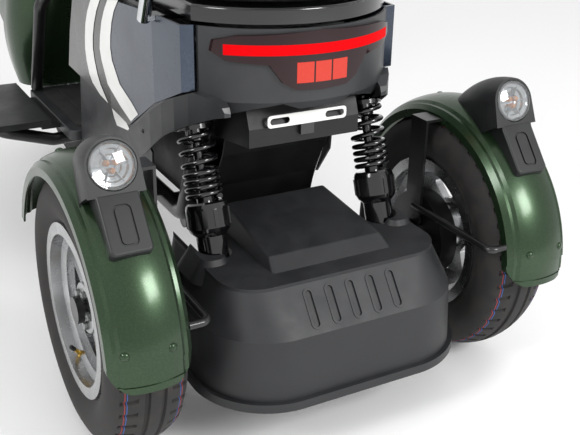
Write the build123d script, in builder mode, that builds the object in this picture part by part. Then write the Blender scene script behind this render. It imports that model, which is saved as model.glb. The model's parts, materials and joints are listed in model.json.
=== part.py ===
from build123d import *
import os
from math import cos, radians, sin, sqrt

# Electric tricycle: two driven wheels behind, one steered wheel in front, a long seat that opens
# over a load space, green fenders and leg shield, dark tail panel and a ribbed axle cover.
# The frame of the model: +X is the rider's right, +Y forward, +Z up, the ground is z = 0 and the
# origin lies on the ground under the centre of the machine's length.

os.makedirs("parts", exist_ok=True)

# ---- Driving dimensions, millimetres and degrees ----
WHEELBASE = 1270
REAR_TRACK_HALF = 336.5
REAR_TYRE_R = 225
REAR_TYRE_WIDTH = 126
FRONT_TYRE_R = 215
FRONT_TYRE_WIDTH = 104
TYRE_WALL = 9
BEAD_R = 127
RIM_LIP_R = 141
REAR_RIM_WIDTH = 109
FRONT_RIM_WIDTH = 86
RIM_WALL = 5
SPOKES = 5

RAKE = 26
TRAIL = 80
FORK_HALF_SPACING = 86
STEERER_R = 15
HEAD_TUBE_R = 24

FENDER_GAP = 27
FENDER_HALF_WIDTH = 62
FENDER_DEPTH = 36
FENDER_WALL = 3
FENDER_START = 20
FENDER_END = 182
FENDER_X = 346.5

FLOOR_TOP = 75
FLOOR_THICK = 22
FLOOR_HALF_WIDTH = 205
FLOOR_TO_FRONT_AXLE = 285
MAT_THICK = 5
RAIL_R = 17
CROSS_R = 12

SEAT_UNDERSIDE = 428
SEAT_FRONT = 560
SEAT_HALF_WIDTH = 172
PAN_THICK = 24
CUSHION_THICK = 78

BOX_HALF = 100
BOX_WALL = 4

TAIL_BOW_R = 215
TAIL_BOW_BACK = 80
PANEL_WALL = 4

SHOCK_X = 160
SHOCK_LEAN = 20
SPRING_R = 26.5
SPRING_WIRE_R = 4.5
SPRING_LOW_COILS = 4
SPRING_LOW_PITCH = 11.5
SPRING_HIGH_COILS = 3

SPINDLE_R = 12.5
RUNNING_GAP = 0.05
SEAT_GAP = 0.3
PIVOT_CLEAR = 5

# ---- Places worked out from them ----
AXLE_Z = REAR_TYRE_R
FENDER_R = REAR_TYRE_R + FENDER_GAP
FLOOR_FRONT = WHEELBASE - FLOOR_TO_FRONT_AXLE
RAIL_X = BOX_HALF + RAIL_R + 3
REAR_Y = (FENDER_R - WHEELBASE - FRONT_TYRE_R) / 2
SIDES = {"left": -1, "right": 1}

# Three planes through the middle of the rear axle. Sketches on them use distances from the axle.
SIDE = Plane(origin=(0, REAR_Y, AXLE_Z), x_dir=(0, 1, 0), z_dir=(1, 0, 0))
REAR = Plane(origin=(0, REAR_Y, AXLE_Z), x_dir=(1, 0, 0), z_dir=(0, -1, 0))
TOP = Plane(origin=(0, REAR_Y, AXLE_Z), x_dir=(1, 0, 0), z_dir=(0, 0, 1))

# The steering axis rises from the ground and leans back. The local z of this plane runs up it.
STEER = Plane(
    origin=(0, REAR_Y + WHEELBASE + TRAIL, 0),
    x_dir=(1, 0, 0),
    z_dir=(0, -sin(radians(RAKE)), cos(radians(RAKE))),
)
FRONT_AXLE_UP = TRAIL * sin(radians(RAKE)) + FRONT_TYRE_R * cos(radians(RAKE))
FORK_OFFSET = FRONT_TYRE_R * sin(radians(RAKE)) - TRAIL * cos(radians(RAKE))


def at(x, y, z):
    """The point x to the right, y ahead of and z above the middle of the rear axle."""
    return Vector(x, REAR_Y + y, AXLE_Z + z)


def on_steer(x, y, up):
    """The point x to the right of the steering axis, y ahead of it and up along it."""
    return STEER.from_local_coords(Vector(x, y, up))


def add_tube(points, radius, bend, mode=Mode.ADD):
    """Adds a round bar along the points to the open part, with every corner bent to one radius."""
    with BuildLine() as path:
        if len(points) > 2:
            FilletPolyline(*points, radius=bend)
        else:
            Line(*points)
    with BuildSketch(Plane(origin=path.line @ 0, z_dir=path.line % 0)) as ring:
        Circle(radius)
    sweep(sections=ring.sketch, path=path.line, mode=mode)


def add_bar_x(y, z, radius, x_from, x_to, mode=Mode.ADD):
    """Adds a round bar along X at a place given from the rear axle."""
    with BuildSketch(SIDE.offset(x_from)) as ring:
        with Locations((y, z)):
            Circle(radius)
    extrude(ring.sketch, amount=x_to - x_from, mode=mode)


def add_block(x, y, z, mode=Mode.ADD):
    """Adds a block between pairs of limits given from the rear axle."""
    low = at(x[0], y[0], z[0])
    high = at(x[1], y[1], z[1])
    with Locations((low + high) * 0.5):
        Box(high.X - low.X, high.Y - low.Y, high.Z - low.Z, mode=mode)


def add_side_plate(points, x_from, x_to, mode=Mode.ADD):
    """Adds a plate with an outline seen from the side, between two distances from the middle."""
    with BuildSketch(SIDE.offset(x_from)) as outline:
        Polygon(*points, align=None)
    extrude(outline.sketch, amount=x_to - x_from, mode=mode)


def save(part, name):
    """Labels a finished piece and writes it."""
    part.label = name
    export_step(part, f"parts/{name}.step")


# ---- Wheels ----
def draw_tyre(radius, half_width, bead_half, foot_r, mode=Mode.ADD):
    """Draws the tyre's outline across the wheel, closed at the given foot radius."""
    shoulder = 0.8 * half_width
    shoulder_r = radius - 0.24 * half_width
    belly_r = BEAD_R + 0.5 * (radius - BEAD_R)
    with BuildLine() as outline:
        crown = ThreePointArc((-shoulder, shoulder_r), (0, radius), (shoulder, shoulder_r))
        right = ThreePointArc(crown @ 1, (half_width, belly_r), (bead_half, RIM_LIP_R))
        left = ThreePointArc(crown @ 0, (-half_width, belly_r), (-bead_half, RIM_LIP_R))
        Polyline(right @ 1, (bead_half, foot_r), (-bead_half, foot_r), left @ 1)
    make_face(outline.edges(), mode=mode)


def build_tyre(name, centre, radius, width, rim_width):
    bead_half = rim_width / 2 - RIM_WALL - SEAT_GAP
    with BuildPart() as tyre:
        with BuildSketch(Plane(origin=centre, x_dir=(1, 0, 0), z_dir=(0, -1, 0))):
            draw_tyre(radius, width / 2, bead_half, BEAD_R + SEAT_GAP)
            draw_tyre(radius - TYRE_WALL, width / 2 - TYRE_WALL, bead_half - TYRE_WALL, BEAD_R, Mode.SUBTRACT)
        revolve(axis=Axis(centre, (1, 0, 0)))
    save(tyre.part, name)


WELL_DEPTH = 13
DISC_THICK = 15
HUB_R = 42
WINDOW_R = 54
WINDOW_END_R = 96


def build_rim(name, centre, width, side, bore_r, hub_half):
    """A cast wheel: barrel with two lips and a well, a spoked disc near the outer face, and a hub."""
    lip = width / 2
    seat = lip - RIM_WALL
    well = 0.3 * width
    well_r = BEAD_R - WELL_DEPTH
    inner_r = BEAD_R - RIM_WALL
    disc_x = 0.14 * width * side
    outer = [(lip, RIM_LIP_R), (seat, RIM_LIP_R), (seat, BEAD_R), (well + 6, BEAD_R), (well, well_r)]
    inner = [(well - 2, well_r - RIM_WALL), (well + 4, inner_r - 2), (lip, inner_r)]
    with BuildPart() as rim:
        with BuildSketch(Plane(origin=centre, x_dir=(1, 0, 0), z_dir=(0, -1, 0))):
            Polygon(*[(-x, r) for x, r in outer], *outer[::-1], *inner[::-1], *[(-x, r) for x, r in inner], align=None)
        revolve(axis=Axis(centre, (1, 0, 0)))
        face = Plane(origin=centre, x_dir=(0, 1, 0), z_dir=(1, 0, 0))
        with BuildSketch(face.offset(disc_x - DISC_THICK / 2)):
            Circle(well_r - 2)
        extrude(amount=DISC_THICK)
        with BuildSketch(face.offset(-width)) as windows:
            for turn in range(0, 360, 360 // SPOKES):
                corners = [(WINDOW_R, -14), (WINDOW_R, 14), (WINDOW_END_R, 23), (WINDOW_END_R, -23)]
                Polygon(*[(r * cos(radians(turn + a)), r * sin(radians(turn + a))) for r, a in corners], align=None)
            fillet(windows.vertices(), 6)
        extrude(amount=2 * width, mode=Mode.SUBTRACT)
        with BuildSketch(face.offset(-hub_half)):
            Circle(HUB_R)
        extrude(amount=2 * hub_half)
        fillet(rim.edges().filter_by(GeomType.CIRCLE).filter_by(lambda edge: abs(edge.radius - HUB_R) < 0.1), 3)
        with BuildSketch(face.offset(-width)):
            Circle(bore_r)
        extrude(amount=2 * width, mode=Mode.SUBTRACT)
    save(rim.part, name)


HUB_HALF = 35
for name, side in SIDES.items():
    wheel = at(side * REAR_TRACK_HALF, 0, 0)
    build_tyre(f"rear_tyre_{name}", wheel, REAR_TYRE_R, REAR_TYRE_WIDTH, REAR_RIM_WIDTH)
    build_rim(f"rear_rim_{name}", wheel, REAR_RIM_WIDTH, side, SPINDLE_R + RUNNING_GAP, HUB_HALF)

FRONT_SPINDLE_R = 8
FRONT_HUB_HALF = 42
front_wheel = Vector(0, REAR_Y + WHEELBASE, FRONT_TYRE_R)
build_tyre("front_tyre", front_wheel, FRONT_TYRE_R, FRONT_TYRE_WIDTH, FRONT_RIM_WIDTH)
build_rim("front_rim", front_wheel, FRONT_RIM_WIDTH, 1, FRONT_SPINDLE_R + RUNNING_GAP, FRONT_HUB_HALF)

# ---- Rear axle, motor and battery ----
HOUSING_R = 29
DRUM_R = 80
DRUM_FROM = 262
DRUM_TO = REAR_TRACK_HALF - HUB_HALF - PIVOT_CLEAR
ARM_X = 85
ARM_HALF = 13
ARM_PIVOT_Y = 205
ARM_PIVOT_Z = 22
MOTOR_Y = 108
MOTOR_R = 56
CASE_R = 66
CASE_FROM = -68
CASE_TO = -20
SHOCK_FOOT_Z = 30
SHOCK_FOOT_Y = -38
EYE_HALF = 14
LUG_THICK = 6

with BuildPart() as rear_axle:
    add_bar_x(0, 0, HOUSING_R, -DRUM_FROM, DRUM_FROM)
    add_bar_x(0, 0, SPINDLE_R, -REAR_TRACK_HALF - HUB_HALF - 8, REAR_TRACK_HALF + HUB_HALF + 8)
    for side in SIDES.values():
        add_bar_x(0, 0, DRUM_R, side * DRUM_FROM, side * DRUM_TO)
        add_bar_x(0, 0, 22, side * (REAR_TRACK_HALF + HUB_HALF + PIVOT_CLEAR), side * (REAR_TRACK_HALF + HUB_HALF + 16))
        arm = side * ARM_X
        add_side_plate([(-8, -26), (ARM_PIVOT_Y, ARM_PIVOT_Z - 16), (ARM_PIVOT_Y, ARM_PIVOT_Z + 16), (-8, 26)], arm - ARM_HALF, arm + ARM_HALF)
        add_bar_x(ARM_PIVOT_Y, ARM_PIVOT_Z, RAIL_R + 9, arm - ARM_HALF - 1, arm + ARM_HALF + 1)
        for ear in (-1, 1):
            inner = side * SHOCK_X + ear * (EYE_HALF + SEAT_GAP)
            lug = [(10, 8), (SHOCK_FOOT_Y + 8, SHOCK_FOOT_Z + 14), (SHOCK_FOOT_Y - 12, SHOCK_FOOT_Z + 10), (SHOCK_FOOT_Y - 8, -12), (0, -20)]
            add_side_plate(lug, inner, inner + ear * LUG_THICK)
        add_bar_x(SHOCK_FOOT_Y, SHOCK_FOOT_Z, 6, side * SHOCK_X - EYE_HALF - 10, side * SHOCK_X + EYE_HALF + 10)
    with BuildSketch(SIDE.offset(CASE_FROM)):
        Circle(CASE_R)
        with Locations((MOTOR_Y, 0)):
            Circle(MOTOR_R)
        make_hull()
    extrude(amount=CASE_TO - CASE_FROM)
    add_bar_x(ARM_PIVOT_Y, ARM_PIVOT_Z, RAIL_R + SEAT_GAP, -ARM_X - 20, ARM_X + 20, Mode.SUBTRACT)
save(rear_axle.part, "rear_axle")

MOTOR_LENGTH = 88
with BuildPart() as drive_motor:
    add_bar_x(MOTOR_Y, 0, MOTOR_R - 4, CASE_TO, CASE_TO + MOTOR_LENGTH)
save(drive_motor.part, "drive_motor")

BATTERY_FLOOR = FLOOR_TOP - FLOOR_THICK
BATTERY_TOP = 190
BATTERY_REAR = 200
BATTERY_FRONT = 560
with BuildPart() as battery:
    half = BOX_HALF - BOX_WALL - SEAT_GAP
    add_block((-half, half), (BATTERY_REAR, BATTERY_FRONT), (BATTERY_FLOOR, BATTERY_TOP))
    fillet(battery.edges().filter_by(Axis.Z), 8)
save(battery.part, "battery")

# ---- Axle cover ----
COVER_HALF = 232
COVER_REAR = -237
COVER_FRONT = 112
COVER_FOOT = -119.5
COVER_FLANGE = 15
COVER_CREASE = -5
COVER_SHOULDER = 58
COVER_LEDGE = 64
COVER_CROWN = 80
COVER_WALL = 4
COVER_CORNER_R = 125
COVER_SIDE_SHARE = 0.6
CROWN_HALF = 97.5
CROWN_FLARE = 16
# The top block seen from the side: its sloped back, its top rising forward and its front edge.
CROWN_PROFILE = [(-143, 52), (-141, 62), (-113, 82), (63, 103), (84, 93), (104, 58), (104, 52)]
GROOVES = 5
GROOVE_PITCH = 37.5
GROOVE_LENGTH = 58
GROOVE_WIDTH = 11
NOTCH_R = 29
NOTCH_FLOOR = -30
HUMP_X = 176
HUMP_Y = -34
HUMP_TOP = 73


def draw_cover(inset, draw_in, corner):
    """Draws the cover's plan, drawn in at the back, less at the sides, and inset by another amount."""
    half = COVER_HALF - COVER_SIDE_SHARE * draw_in - inset
    rear = COVER_REAR + draw_in + inset
    front = COVER_FRONT - inset
    with Locations((0, (rear + front) / 2)):
        RectangleRounded(2 * half, front - rear, corner - inset)


def add_cover_form(inset, mode=Mode.ADD):
    """Adds the cover's outer form, or with an inset the hollow inside it."""
    levels = [(COVER_FOOT, 0), (COVER_CREASE, 10), (COVER_SHOULDER, 60)]
    for (low, low_in), (high, high_in) in zip(levels, levels[1:]):
        with BuildSketch(TOP.offset(low)) as lower:
            draw_cover(inset, low_in, COVER_CORNER_R - low_in)
        with BuildSketch(TOP.offset(high)) as upper:
            draw_cover(inset, high_in, COVER_CORNER_R - high_in)
        loft(sections=[lower.sketch, upper.sketch], ruled=True, mode=mode)


def add_crown(inset):
    """Adds the cover's top block as a trapezoid seen from behind, cut to its outline seen from the side."""
    low = CROWN_PROFILE[0][1] - inset
    high = CROWN_PROFILE[3][1]
    top = CROWN_HALF - inset
    foot = CROWN_HALF + CROWN_FLARE - inset
    with BuildSketch(REAR.offset(-COVER_FRONT)) as across:
        Polygon((-foot, low), (foot, low), (top, high), (-top, high), align=None)
    extrude(across.sketch, amount=2 * COVER_FRONT - CROWN_PROFILE[0][0])
    outline = [(y + (inset if y < 0 else -inset), z - inset) for y, z in CROWN_PROFILE]
    with BuildSketch(SIDE.offset(-2 * foot)) as along:
        Polygon(*outline, align=None)
    extrude(along.sketch, amount=4 * foot, mode=Mode.INTERSECT)


with BuildPart() as crown_hollow:
    add_crown(COVER_WALL)

# The plane of the sloped back between crease and shoulder, for the grooves.
slope_run = 50
slope_rise = COVER_SHOULDER - COVER_CREASE
groove_plane = Plane(
    origin=at(0, COVER_REAR + 10 + slope_run / 2, (COVER_SHOULDER + COVER_CREASE) / 2),
    x_dir=(1, 0, 0),
    z_dir=(0, -slope_rise, slope_run),
)

with BuildPart() as axle_cover:
    add_crown(0)
    fillet(axle_cover.edges().filter_by(lambda edge: edge.center().Z > AXLE_Z + 66), 7)
    add_cover_form(0)
    with BuildSketch(TOP.offset(COVER_SHOULDER)):
        draw_cover(0, 60, COVER_CORNER_R - 60)
    extrude(amount=COVER_LEDGE - COVER_SHOULDER)
    for side in SIDES.values():
        with BuildSketch(TOP.offset(COVER_SHOULDER - 20)):
            with Locations((side * HUMP_X, HUMP_Y)):
                RectangleRounded(80, 116, 36)
        extrude(amount=HUMP_TOP - COVER_SHOULDER + 20, taper=30)
    with BuildSketch(TOP.offset(COVER_FOOT)):
        draw_cover(-7, 0, COVER_CORNER_R)
    extrude(amount=COVER_FLANGE)
    with BuildSketch(groove_plane.offset(-2)):
        with GridLocations(GROOVE_PITCH, 1, GROOVES, 1):
            SlotOverall(GROOVE_LENGTH + 7, GROOVE_WIDTH + 7, rotation=90)
    extrude(amount=3.2)
    add_cover_form(COVER_WALL, Mode.SUBTRACT)
    add(crown_hollow.part, mode=Mode.SUBTRACT)
    with BuildSketch(groove_plane.offset(-2.2)):
        with GridLocations(GROOVE_PITCH, 1, GROOVES, 1):
            SlotOverall(GROOVE_LENGTH, GROOVE_WIDTH, rotation=90)
    extrude(amount=6, mode=Mode.SUBTRACT)
    add_bar_x(0, 0, HOUSING_R + SEAT_GAP, -COVER_HALF - 20, COVER_HALF + 20, Mode.SUBTRACT)
    for side in SIDES.values():
        with BuildSketch(TOP.offset(NOTCH_FLOOR)):
            with Locations((side * SHOCK_X, SHOCK_FOOT_Y + 10)):
                Circle(NOTCH_R)
                Rectangle(2 * NOTCH_R, 2 * COVER_FRONT, align=(Align.CENTER, Align.MIN))
        extrude(amount=2 * COVER_CROWN, mode=Mode.SUBTRACT)
        add_block(
            (side * ARM_X - 20, side * ARM_X + 20),
            (COVER_FRONT - 20, COVER_FRONT + 20),
            (COVER_FOOT - 1, 45),
            Mode.SUBTRACT,
        )
    add_block(
        (CASE_FROM - 6, CASE_TO + MOTOR_LENGTH + 6),
        (COVER_FRONT - 20, COVER_FRONT + 20),
        (COVER_FOOT - 1, MOTOR_R + 6),
        Mode.SUBTRACT,
    )
save(axle_cover.part, "axle_cover")

# ---- Shocks and springs, leaning forward over the axle ----
SHOCK_CAN_R = 35
SHOCK_TUBE_R = 24.5
SHOCK_ROD_R = 8
EYE_R = 16
# Each eye is joined to the shock by a short neck that reaches into it.
EYE_NECK_R = 12
EYE_NECK_DEEP = 9
SHOCK_LENGTH = 262
CAN_FROM = 69
CAN_TO = 119
SPRING_TO = 236
SEAT_THICK = 7
# The upper seat is only as wide as the spring, because the tail wings pass close outside it.
UPPER_SEAT_R = SPRING_R + SPRING_WIRE_R


def shock_plane(side):
    """The plane at the shock's lower eye whose z runs up the shock."""
    lean = radians(SHOCK_LEAN)
    return Plane(origin=at(side * SHOCK_X, SHOCK_FOOT_Y, SHOCK_FOOT_Z), x_dir=(1, 0, 0), z_dir=(0, sin(lean), cos(lean)))


# Half of the shock's outline: distance from its axis and distance up it.
SHOCK_PROFILE = [
    (0, EYE_NECK_DEEP), (EYE_NECK_R, EYE_NECK_DEEP), (EYE_NECK_R, EYE_R), (SHOCK_TUBE_R + 2, EYE_R), (SHOCK_TUBE_R + 2, 24), (SHOCK_TUBE_R, 27), (SHOCK_TUBE_R, CAN_FROM - 6),
    (SHOCK_CAN_R - 3, CAN_FROM + 2), (SHOCK_CAN_R, CAN_FROM + 8), (SHOCK_CAN_R, CAN_TO - 9),
    (SHOCK_CAN_R - 2, CAN_TO - 3), (SHOCK_CAN_R - 5, CAN_TO), (SHOCK_ROD_R + 6, CAN_TO), (SHOCK_ROD_R + 6, CAN_TO + 12),
    (SHOCK_ROD_R, CAN_TO + 14), (SHOCK_ROD_R, SPRING_TO - 22), (15, SPRING_TO - 18), (15, SPRING_TO),
    (UPPER_SEAT_R, SPRING_TO), (UPPER_SEAT_R, SPRING_TO + SEAT_THICK),
    (EYE_NECK_R, SPRING_TO + SEAT_THICK + 4), (EYE_NECK_R, SHOCK_LENGTH - EYE_NECK_DEEP), (0, SHOCK_LENGTH - EYE_NECK_DEEP),
]
CAN_RIBS = 12
with BuildPart() as shocks:
    for side in SIDES.values():
        base = shock_plane(side)
        lean = radians(SHOCK_LEAN)
        with BuildSketch(Plane(origin=base.origin, x_dir=(1, 0, 0), z_dir=(0, -cos(lean), sin(lean)))):
            Polygon(*SHOCK_PROFILE, align=None)
        revolve(axis=Axis(base.origin, base.z_dir))
        with BuildSketch(base.offset(CAN_FROM + 10)):
            with PolarLocations(SHOCK_CAN_R, CAN_RIBS):
                Rectangle(3, 7)
        extrude(amount=CAN_TO - CAN_FROM - 22)
        for up in (0, SHOCK_LENGTH):
            eye = base.from_local_coords(Vector(0, 0, up))
            with Locations(Location(eye, (0, 90, 0))):
                Cylinder(EYE_R, 2 * EYE_HALF)
        for up in (0, SHOCK_LENGTH):
            eye = base.from_local_coords(Vector(0, 0, up))
            with Locations(Location(eye, (0, 90, 0))):
                Cylinder(6 + SEAT_GAP, 4 * EYE_HALF, mode=Mode.SUBTRACT)
save(shocks.part, "shocks")

SPRING_FROM = CAN_TO + SPRING_WIRE_R + SEAT_GAP
SPRING_CHANGE = SPRING_LOW_COILS * SPRING_LOW_PITCH
SPRING_HIGH_PITCH = (SPRING_TO - SPRING_WIRE_R - SEAT_GAP - SPRING_FROM - SPRING_CHANGE) / SPRING_HIGH_COILS


def add_coils(count, pitch, start):
    """Adds a run of spring turns round the Z axis from a height."""
    with BuildLine() as coil:
        Helix(pitch, pitch * count, SPRING_R, center=(0, 0, start))
    with BuildSketch(Plane(origin=coil.line @ 0, z_dir=coil.line % 0)) as wire:
        Circle(SPRING_WIRE_R)
    sweep(sections=wire.sketch, path=coil.line)


# The lower turns lie closer than the upper ones. The spring is made upright and then leaned,
# and a ball of the wire's own radius joins the two runs where the pitch changes.
with BuildPart() as upright_spring:
    add_coils(SPRING_LOW_COILS, SPRING_LOW_PITCH, 0)
    add_coils(SPRING_HIGH_COILS, SPRING_HIGH_PITCH, SPRING_CHANGE)
    with Locations((SPRING_R, 0, SPRING_CHANGE)):
        Sphere(SPRING_WIRE_R)

with BuildPart() as springs:
    for side in SIDES.values():
        with Locations(shock_plane(side).offset(SPRING_FROM).location):
            add(upright_spring.part)
save(springs.part, "springs")

# ---- Rear fenders with their lamp pods ----
def draw_fender(half, crown_r, lip_r, mode=Mode.ADD):
    """Draws the section across a fender: broad crown, ridge, groove and a straight flange."""
    with BuildLine() as outline:
        crown = ThreePointArc((-0.7 * half, crown_r - 8), (0, crown_r), (0.7 * half, crown_r - 8))
        groove = [(0.78 * half, crown_r - 13), (0.87 * half, crown_r - 13.5), (half, crown_r - 22), (half, lip_r)]
        right = Polyline(crown @ 1, *groove)
        left = Polyline(crown @ 0, *[(-x, r) for x, r in groove])
        Line(right @ 1, left @ 1)
    make_face(outline.edges(), mode=mode)


def fender_plane(centre, angle):
    """The plane through the wheel's axis whose y points out at an angle above straight ahead."""
    turn = radians(angle)
    return Plane(origin=centre, x_dir=(1, 0, 0), z_dir=(0, -sin(turn), cos(turn)))


FENDER_LIP_R = FENDER_R - FENDER_DEPTH
# Start and end angle, drop of the crown and wall of each stretch: the rear end has a step and a rolled lip.
FENDER_STRETCHES = [
    (FENDER_START, FENDER_END - 9, 0, FENDER_WALL),
    (FENDER_END - 9, FENDER_END - 2.5, 2.4, FENDER_WALL + 1),
    (FENDER_END - 2.5, FENDER_END, 0.8, FENDER_WALL + 1),
]
FENDER_END_CORNER = 40
for name, side in SIDES.items():
    centre = at(side * FENDER_X, 0, 0)
    end_z = FENDER_R * sin(radians(FENDER_END))
    with BuildPart() as rear_fender:
        for start, end, drop, wall in FENDER_STRETCHES:
            with BuildSketch(fender_plane(centre, start)):
                draw_fender(FENDER_HALF_WIDTH, FENDER_R - drop, FENDER_LIP_R)
                draw_fender(FENDER_HALF_WIDTH - FENDER_WALL, FENDER_R - drop - wall, FENDER_LIP_R - 1, Mode.SUBTRACT)
            revolve(axis=Axis(centre, (1, 0, 0)), revolution_arc=end - start)
        with BuildSketch(REAR.offset(FENDER_LIP_R - 20)):
            with Locations((side * FENDER_X, end_z + 30)):
                Rectangle(2 * FENDER_HALF_WIDTH + 2, 70)
            with Locations((side * FENDER_X, end_z + 100)):
                RectangleRounded(2 * FENDER_HALF_WIDTH + 1, 202, FENDER_END_CORNER, mode=Mode.SUBTRACT)
        extrude(amount=FENDER_DEPTH + 40, mode=Mode.SUBTRACT)
    save(rear_fender.part, f"rear_fender_{name}")

LAMP_OVER = 51.6
LAMP_ANGLE = 113.7
LAMP_TILT = 20
LAMP_X = 350
LENS_R = 34
BEZEL_DEPTH = 14
HOOD_FLARE = 7
HOOD_FOOT = 110
# Distance out of the lamp's face, radius and drop of each section of the hood, from its brim forward.
HOOD_SECTIONS = [(4, 39, 0), (-14, 41.5, -1), (-75, 34, -6), (-152, 22, 12)]
# What is cut away under the hood's rear corners, seen from the side.
HOOD_UNDERCUT = [(-180, 241), (-134, 241), (-104, 222), (-104, 150), (-180, 150)]
POD_BOX_HALF = 31
POD_BOX_ANGLES = (119.3, 137.5)
POD_BOX_RISE = (29, 10)


def on_fender(angle, over):
    """Distances ahead of and above the axle for a point over the fender's crown."""
    reach = FENDER_R + over
    return reach * cos(radians(angle)), reach * sin(radians(angle))


def lamp_plane(side):
    """The plane of the lamp's face, with z out of it, backwards and a little up."""
    tilt = radians(LAMP_TILT)
    y, z = on_fender(LAMP_ANGLE, LAMP_OVER)
    return Plane(origin=at(side * LAMP_X, y, z), x_dir=(1, 0, 0), z_dir=(0, -cos(tilt), sin(tilt)))


pod_top = on_fender(POD_BOX_ANGLES[0], POD_BOX_RISE[0])
pod_low = on_fender(POD_BOX_ANGLES[1], POD_BOX_RISE[1])
pod_outline = [pod_top, pod_low, on_fender(POD_BOX_ANGLES[1] + 1, -10), on_fender(POD_BOX_ANGLES[0] - 4, -20)]
pod_out = Vector(0, pod_low[1] - pod_top[1], pod_top[0] - pod_low[0])
with BuildPart() as lamp_pods:
    for side in SIDES.values():
        lamp_x = side * LAMP_X
        add_side_plate(pod_outline, lamp_x - POD_BOX_HALF, lamp_x + POD_BOX_HALF)
    ends = lamp_pods.faces().filter_by(lambda face: face.normal_at().Y < -0.2 and face.normal_at().Z < 0.3)
    fillet(ends.edges().filter_by(Axis.X, reverse=True), 8)
    backs = lamp_pods.faces().filter_by(lambda face: face.normal_at().Y < -0.2 and face.normal_at().Z > 0.4)
    fillet(backs.edges(), 4)
    for side in SIDES.values():
        lamp_x = side * LAMP_X
        middle = at(lamp_x, (pod_top[0] + pod_low[0]) / 2, (pod_top[1] + pod_low[1]) / 2)
        with BuildSketch(Plane(origin=middle, x_dir=(1, 0, 0), z_dir=pod_out)):
            with Locations((0, -4)):
                RectangleRounded(27, 60, 9)
                RectangleRounded(20, 53, 6, mode=Mode.SUBTRACT)
        extrude(amount=-2.5, mode=Mode.SUBTRACT)
        face = lamp_plane(side)
        for out, radius, drop in HOOD_SECTIONS:
            with BuildSketch(face.offset(out)):
                with BuildLine() as outline:
                    arch = ThreePointArc((-radius, -drop), (0, radius - drop), (radius, -drop))
                    foot = radius + HOOD_FLARE
                    Polyline(arch @ 1, (foot, -HOOD_FOOT), (-foot, -HOOD_FOOT), arch @ 0)
                make_face(outline.edges())
        loft()
        for ear in (-1, 1):
            edges = sorted((lamp_x + ear * POD_BOX_HALF, lamp_x + ear * 2 * POD_BOX_HALF))
            add_side_plate(HOOD_UNDERCUT, *edges, Mode.SUBTRACT)
        with BuildSketch(fender_plane(at(side * FENDER_X, 0, 0), 0)):
            draw_fender(FENDER_HALF_WIDTH, FENDER_R + SEAT_GAP, 1)
        revolve(axis=Axis(at(side * FENDER_X, 0, 0), (1, 0, 0)), mode=Mode.SUBTRACT)
        with BuildSketch(face.offset(-BEZEL_DEPTH)):
            Circle(LENS_R + 1.5)
        extrude(amount=3 * BEZEL_DEPTH, mode=Mode.SUBTRACT)
save(lamp_pods.part, "lamp_pods")

with BuildPart() as lamp_lenses:
    for side in SIDES.values():
        with BuildSketch(lamp_plane(side).offset(-BEZEL_DEPTH + SEAT_GAP)):
            Circle(LENS_R)
        extrude(amount=BEZEL_DEPTH + 6)
save(lamp_lenses.part, "lamp_lenses")

BRACKET_X = 256
BRACKET_THICK = 5
BRACKET_HALF = 22
STAY_R = 6
with BuildPart() as fender_brackets:
    for side in SIDES.values():
        edge = FENDER_X - FENDER_HALF_WIDTH - SEAT_GAP
        rise = sqrt((FENDER_LIP_R + 12) ** 2 - BRACKET_HALF**2)
        add_block(
            sorted((side * BRACKET_X, side * (BRACKET_X - BRACKET_THICK))),
            (-BRACKET_HALF, BRACKET_HALF),
            (HOUSING_R + SEAT_GAP, rise),
        )
        add_block(sorted((side * BRACKET_X, side * edge)), (-BRACKET_HALF, BRACKET_HALF), (rise - BRACKET_THICK, rise))
        stay_z = 60
        stay_y = -sqrt((FENDER_LIP_R + 10) ** 2 - stay_z**2)
        add_tube(
            [
                at(side * (BRACKET_X - STAY_R / 2), 0, stay_z),
                at(side * (BRACKET_X - STAY_R / 2), stay_y, stay_z),
                at(side * edge, stay_y, stay_z),
            ],
            STAY_R,
            12,
        )
save(fender_brackets.part, "fender_brackets")

# ---- Frame ----
SHOCK_TOP_Y = SHOCK_FOOT_Y + SHOCK_LENGTH * sin(radians(SHOCK_LEAN))
SHOCK_TOP_Z = SHOCK_FOOT_Z + SHOCK_LENGTH * cos(radians(SHOCK_LEAN))
TAIL_CROSS_R = 14
CROSS_Y = SHOCK_TOP_Y + EYE_R + TAIL_CROSS_R + 4
CROSS_Z = SHOCK_TOP_Z - 8
RAIL_Z = FLOOR_TOP - FLOOR_THICK - RAIL_R - SEAT_GAP
SEAT_RAIL_R = 13
SEAT_RAIL_X = BOX_HALF + SEAT_RAIL_R + 5
SEAT_RAIL_Z = 380
HEAD_FROM = 545
HEAD_TO = 720
RAIL_BEND = 45
TUBE_BEND = 70
TAIL_BAR_Y = 25
TAIL_BAR_R = 10
DOWN_BEND = 45
KNEE_Y = FLOOR_FRONT + 19
DOWN_TUBE = [
    on_steer(0, -HEAD_TUBE_R / 2, (HEAD_FROM + HEAD_TO) / 2),
    at(0, KNEE_Y + 32, 190),
    at(0, KNEE_Y, RAIL_Z),
    at(0, FLOOR_FRONT - 90, RAIL_Z),
]


def floor_rail(side):
    """The corners of a rail that runs down behind the seat and forward under the floor."""
    return [
        at(side * RAIL_X, CROSS_Y, CROSS_Z),
        at(side * RAIL_X, ARM_PIVOT_Y - 10, RAIL_Z),
        at(side * RAIL_X, FLOOR_FRONT - 60, RAIL_Z),
        at(side * 20, FLOOR_FRONT - 10, RAIL_Z),
    ]


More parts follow.
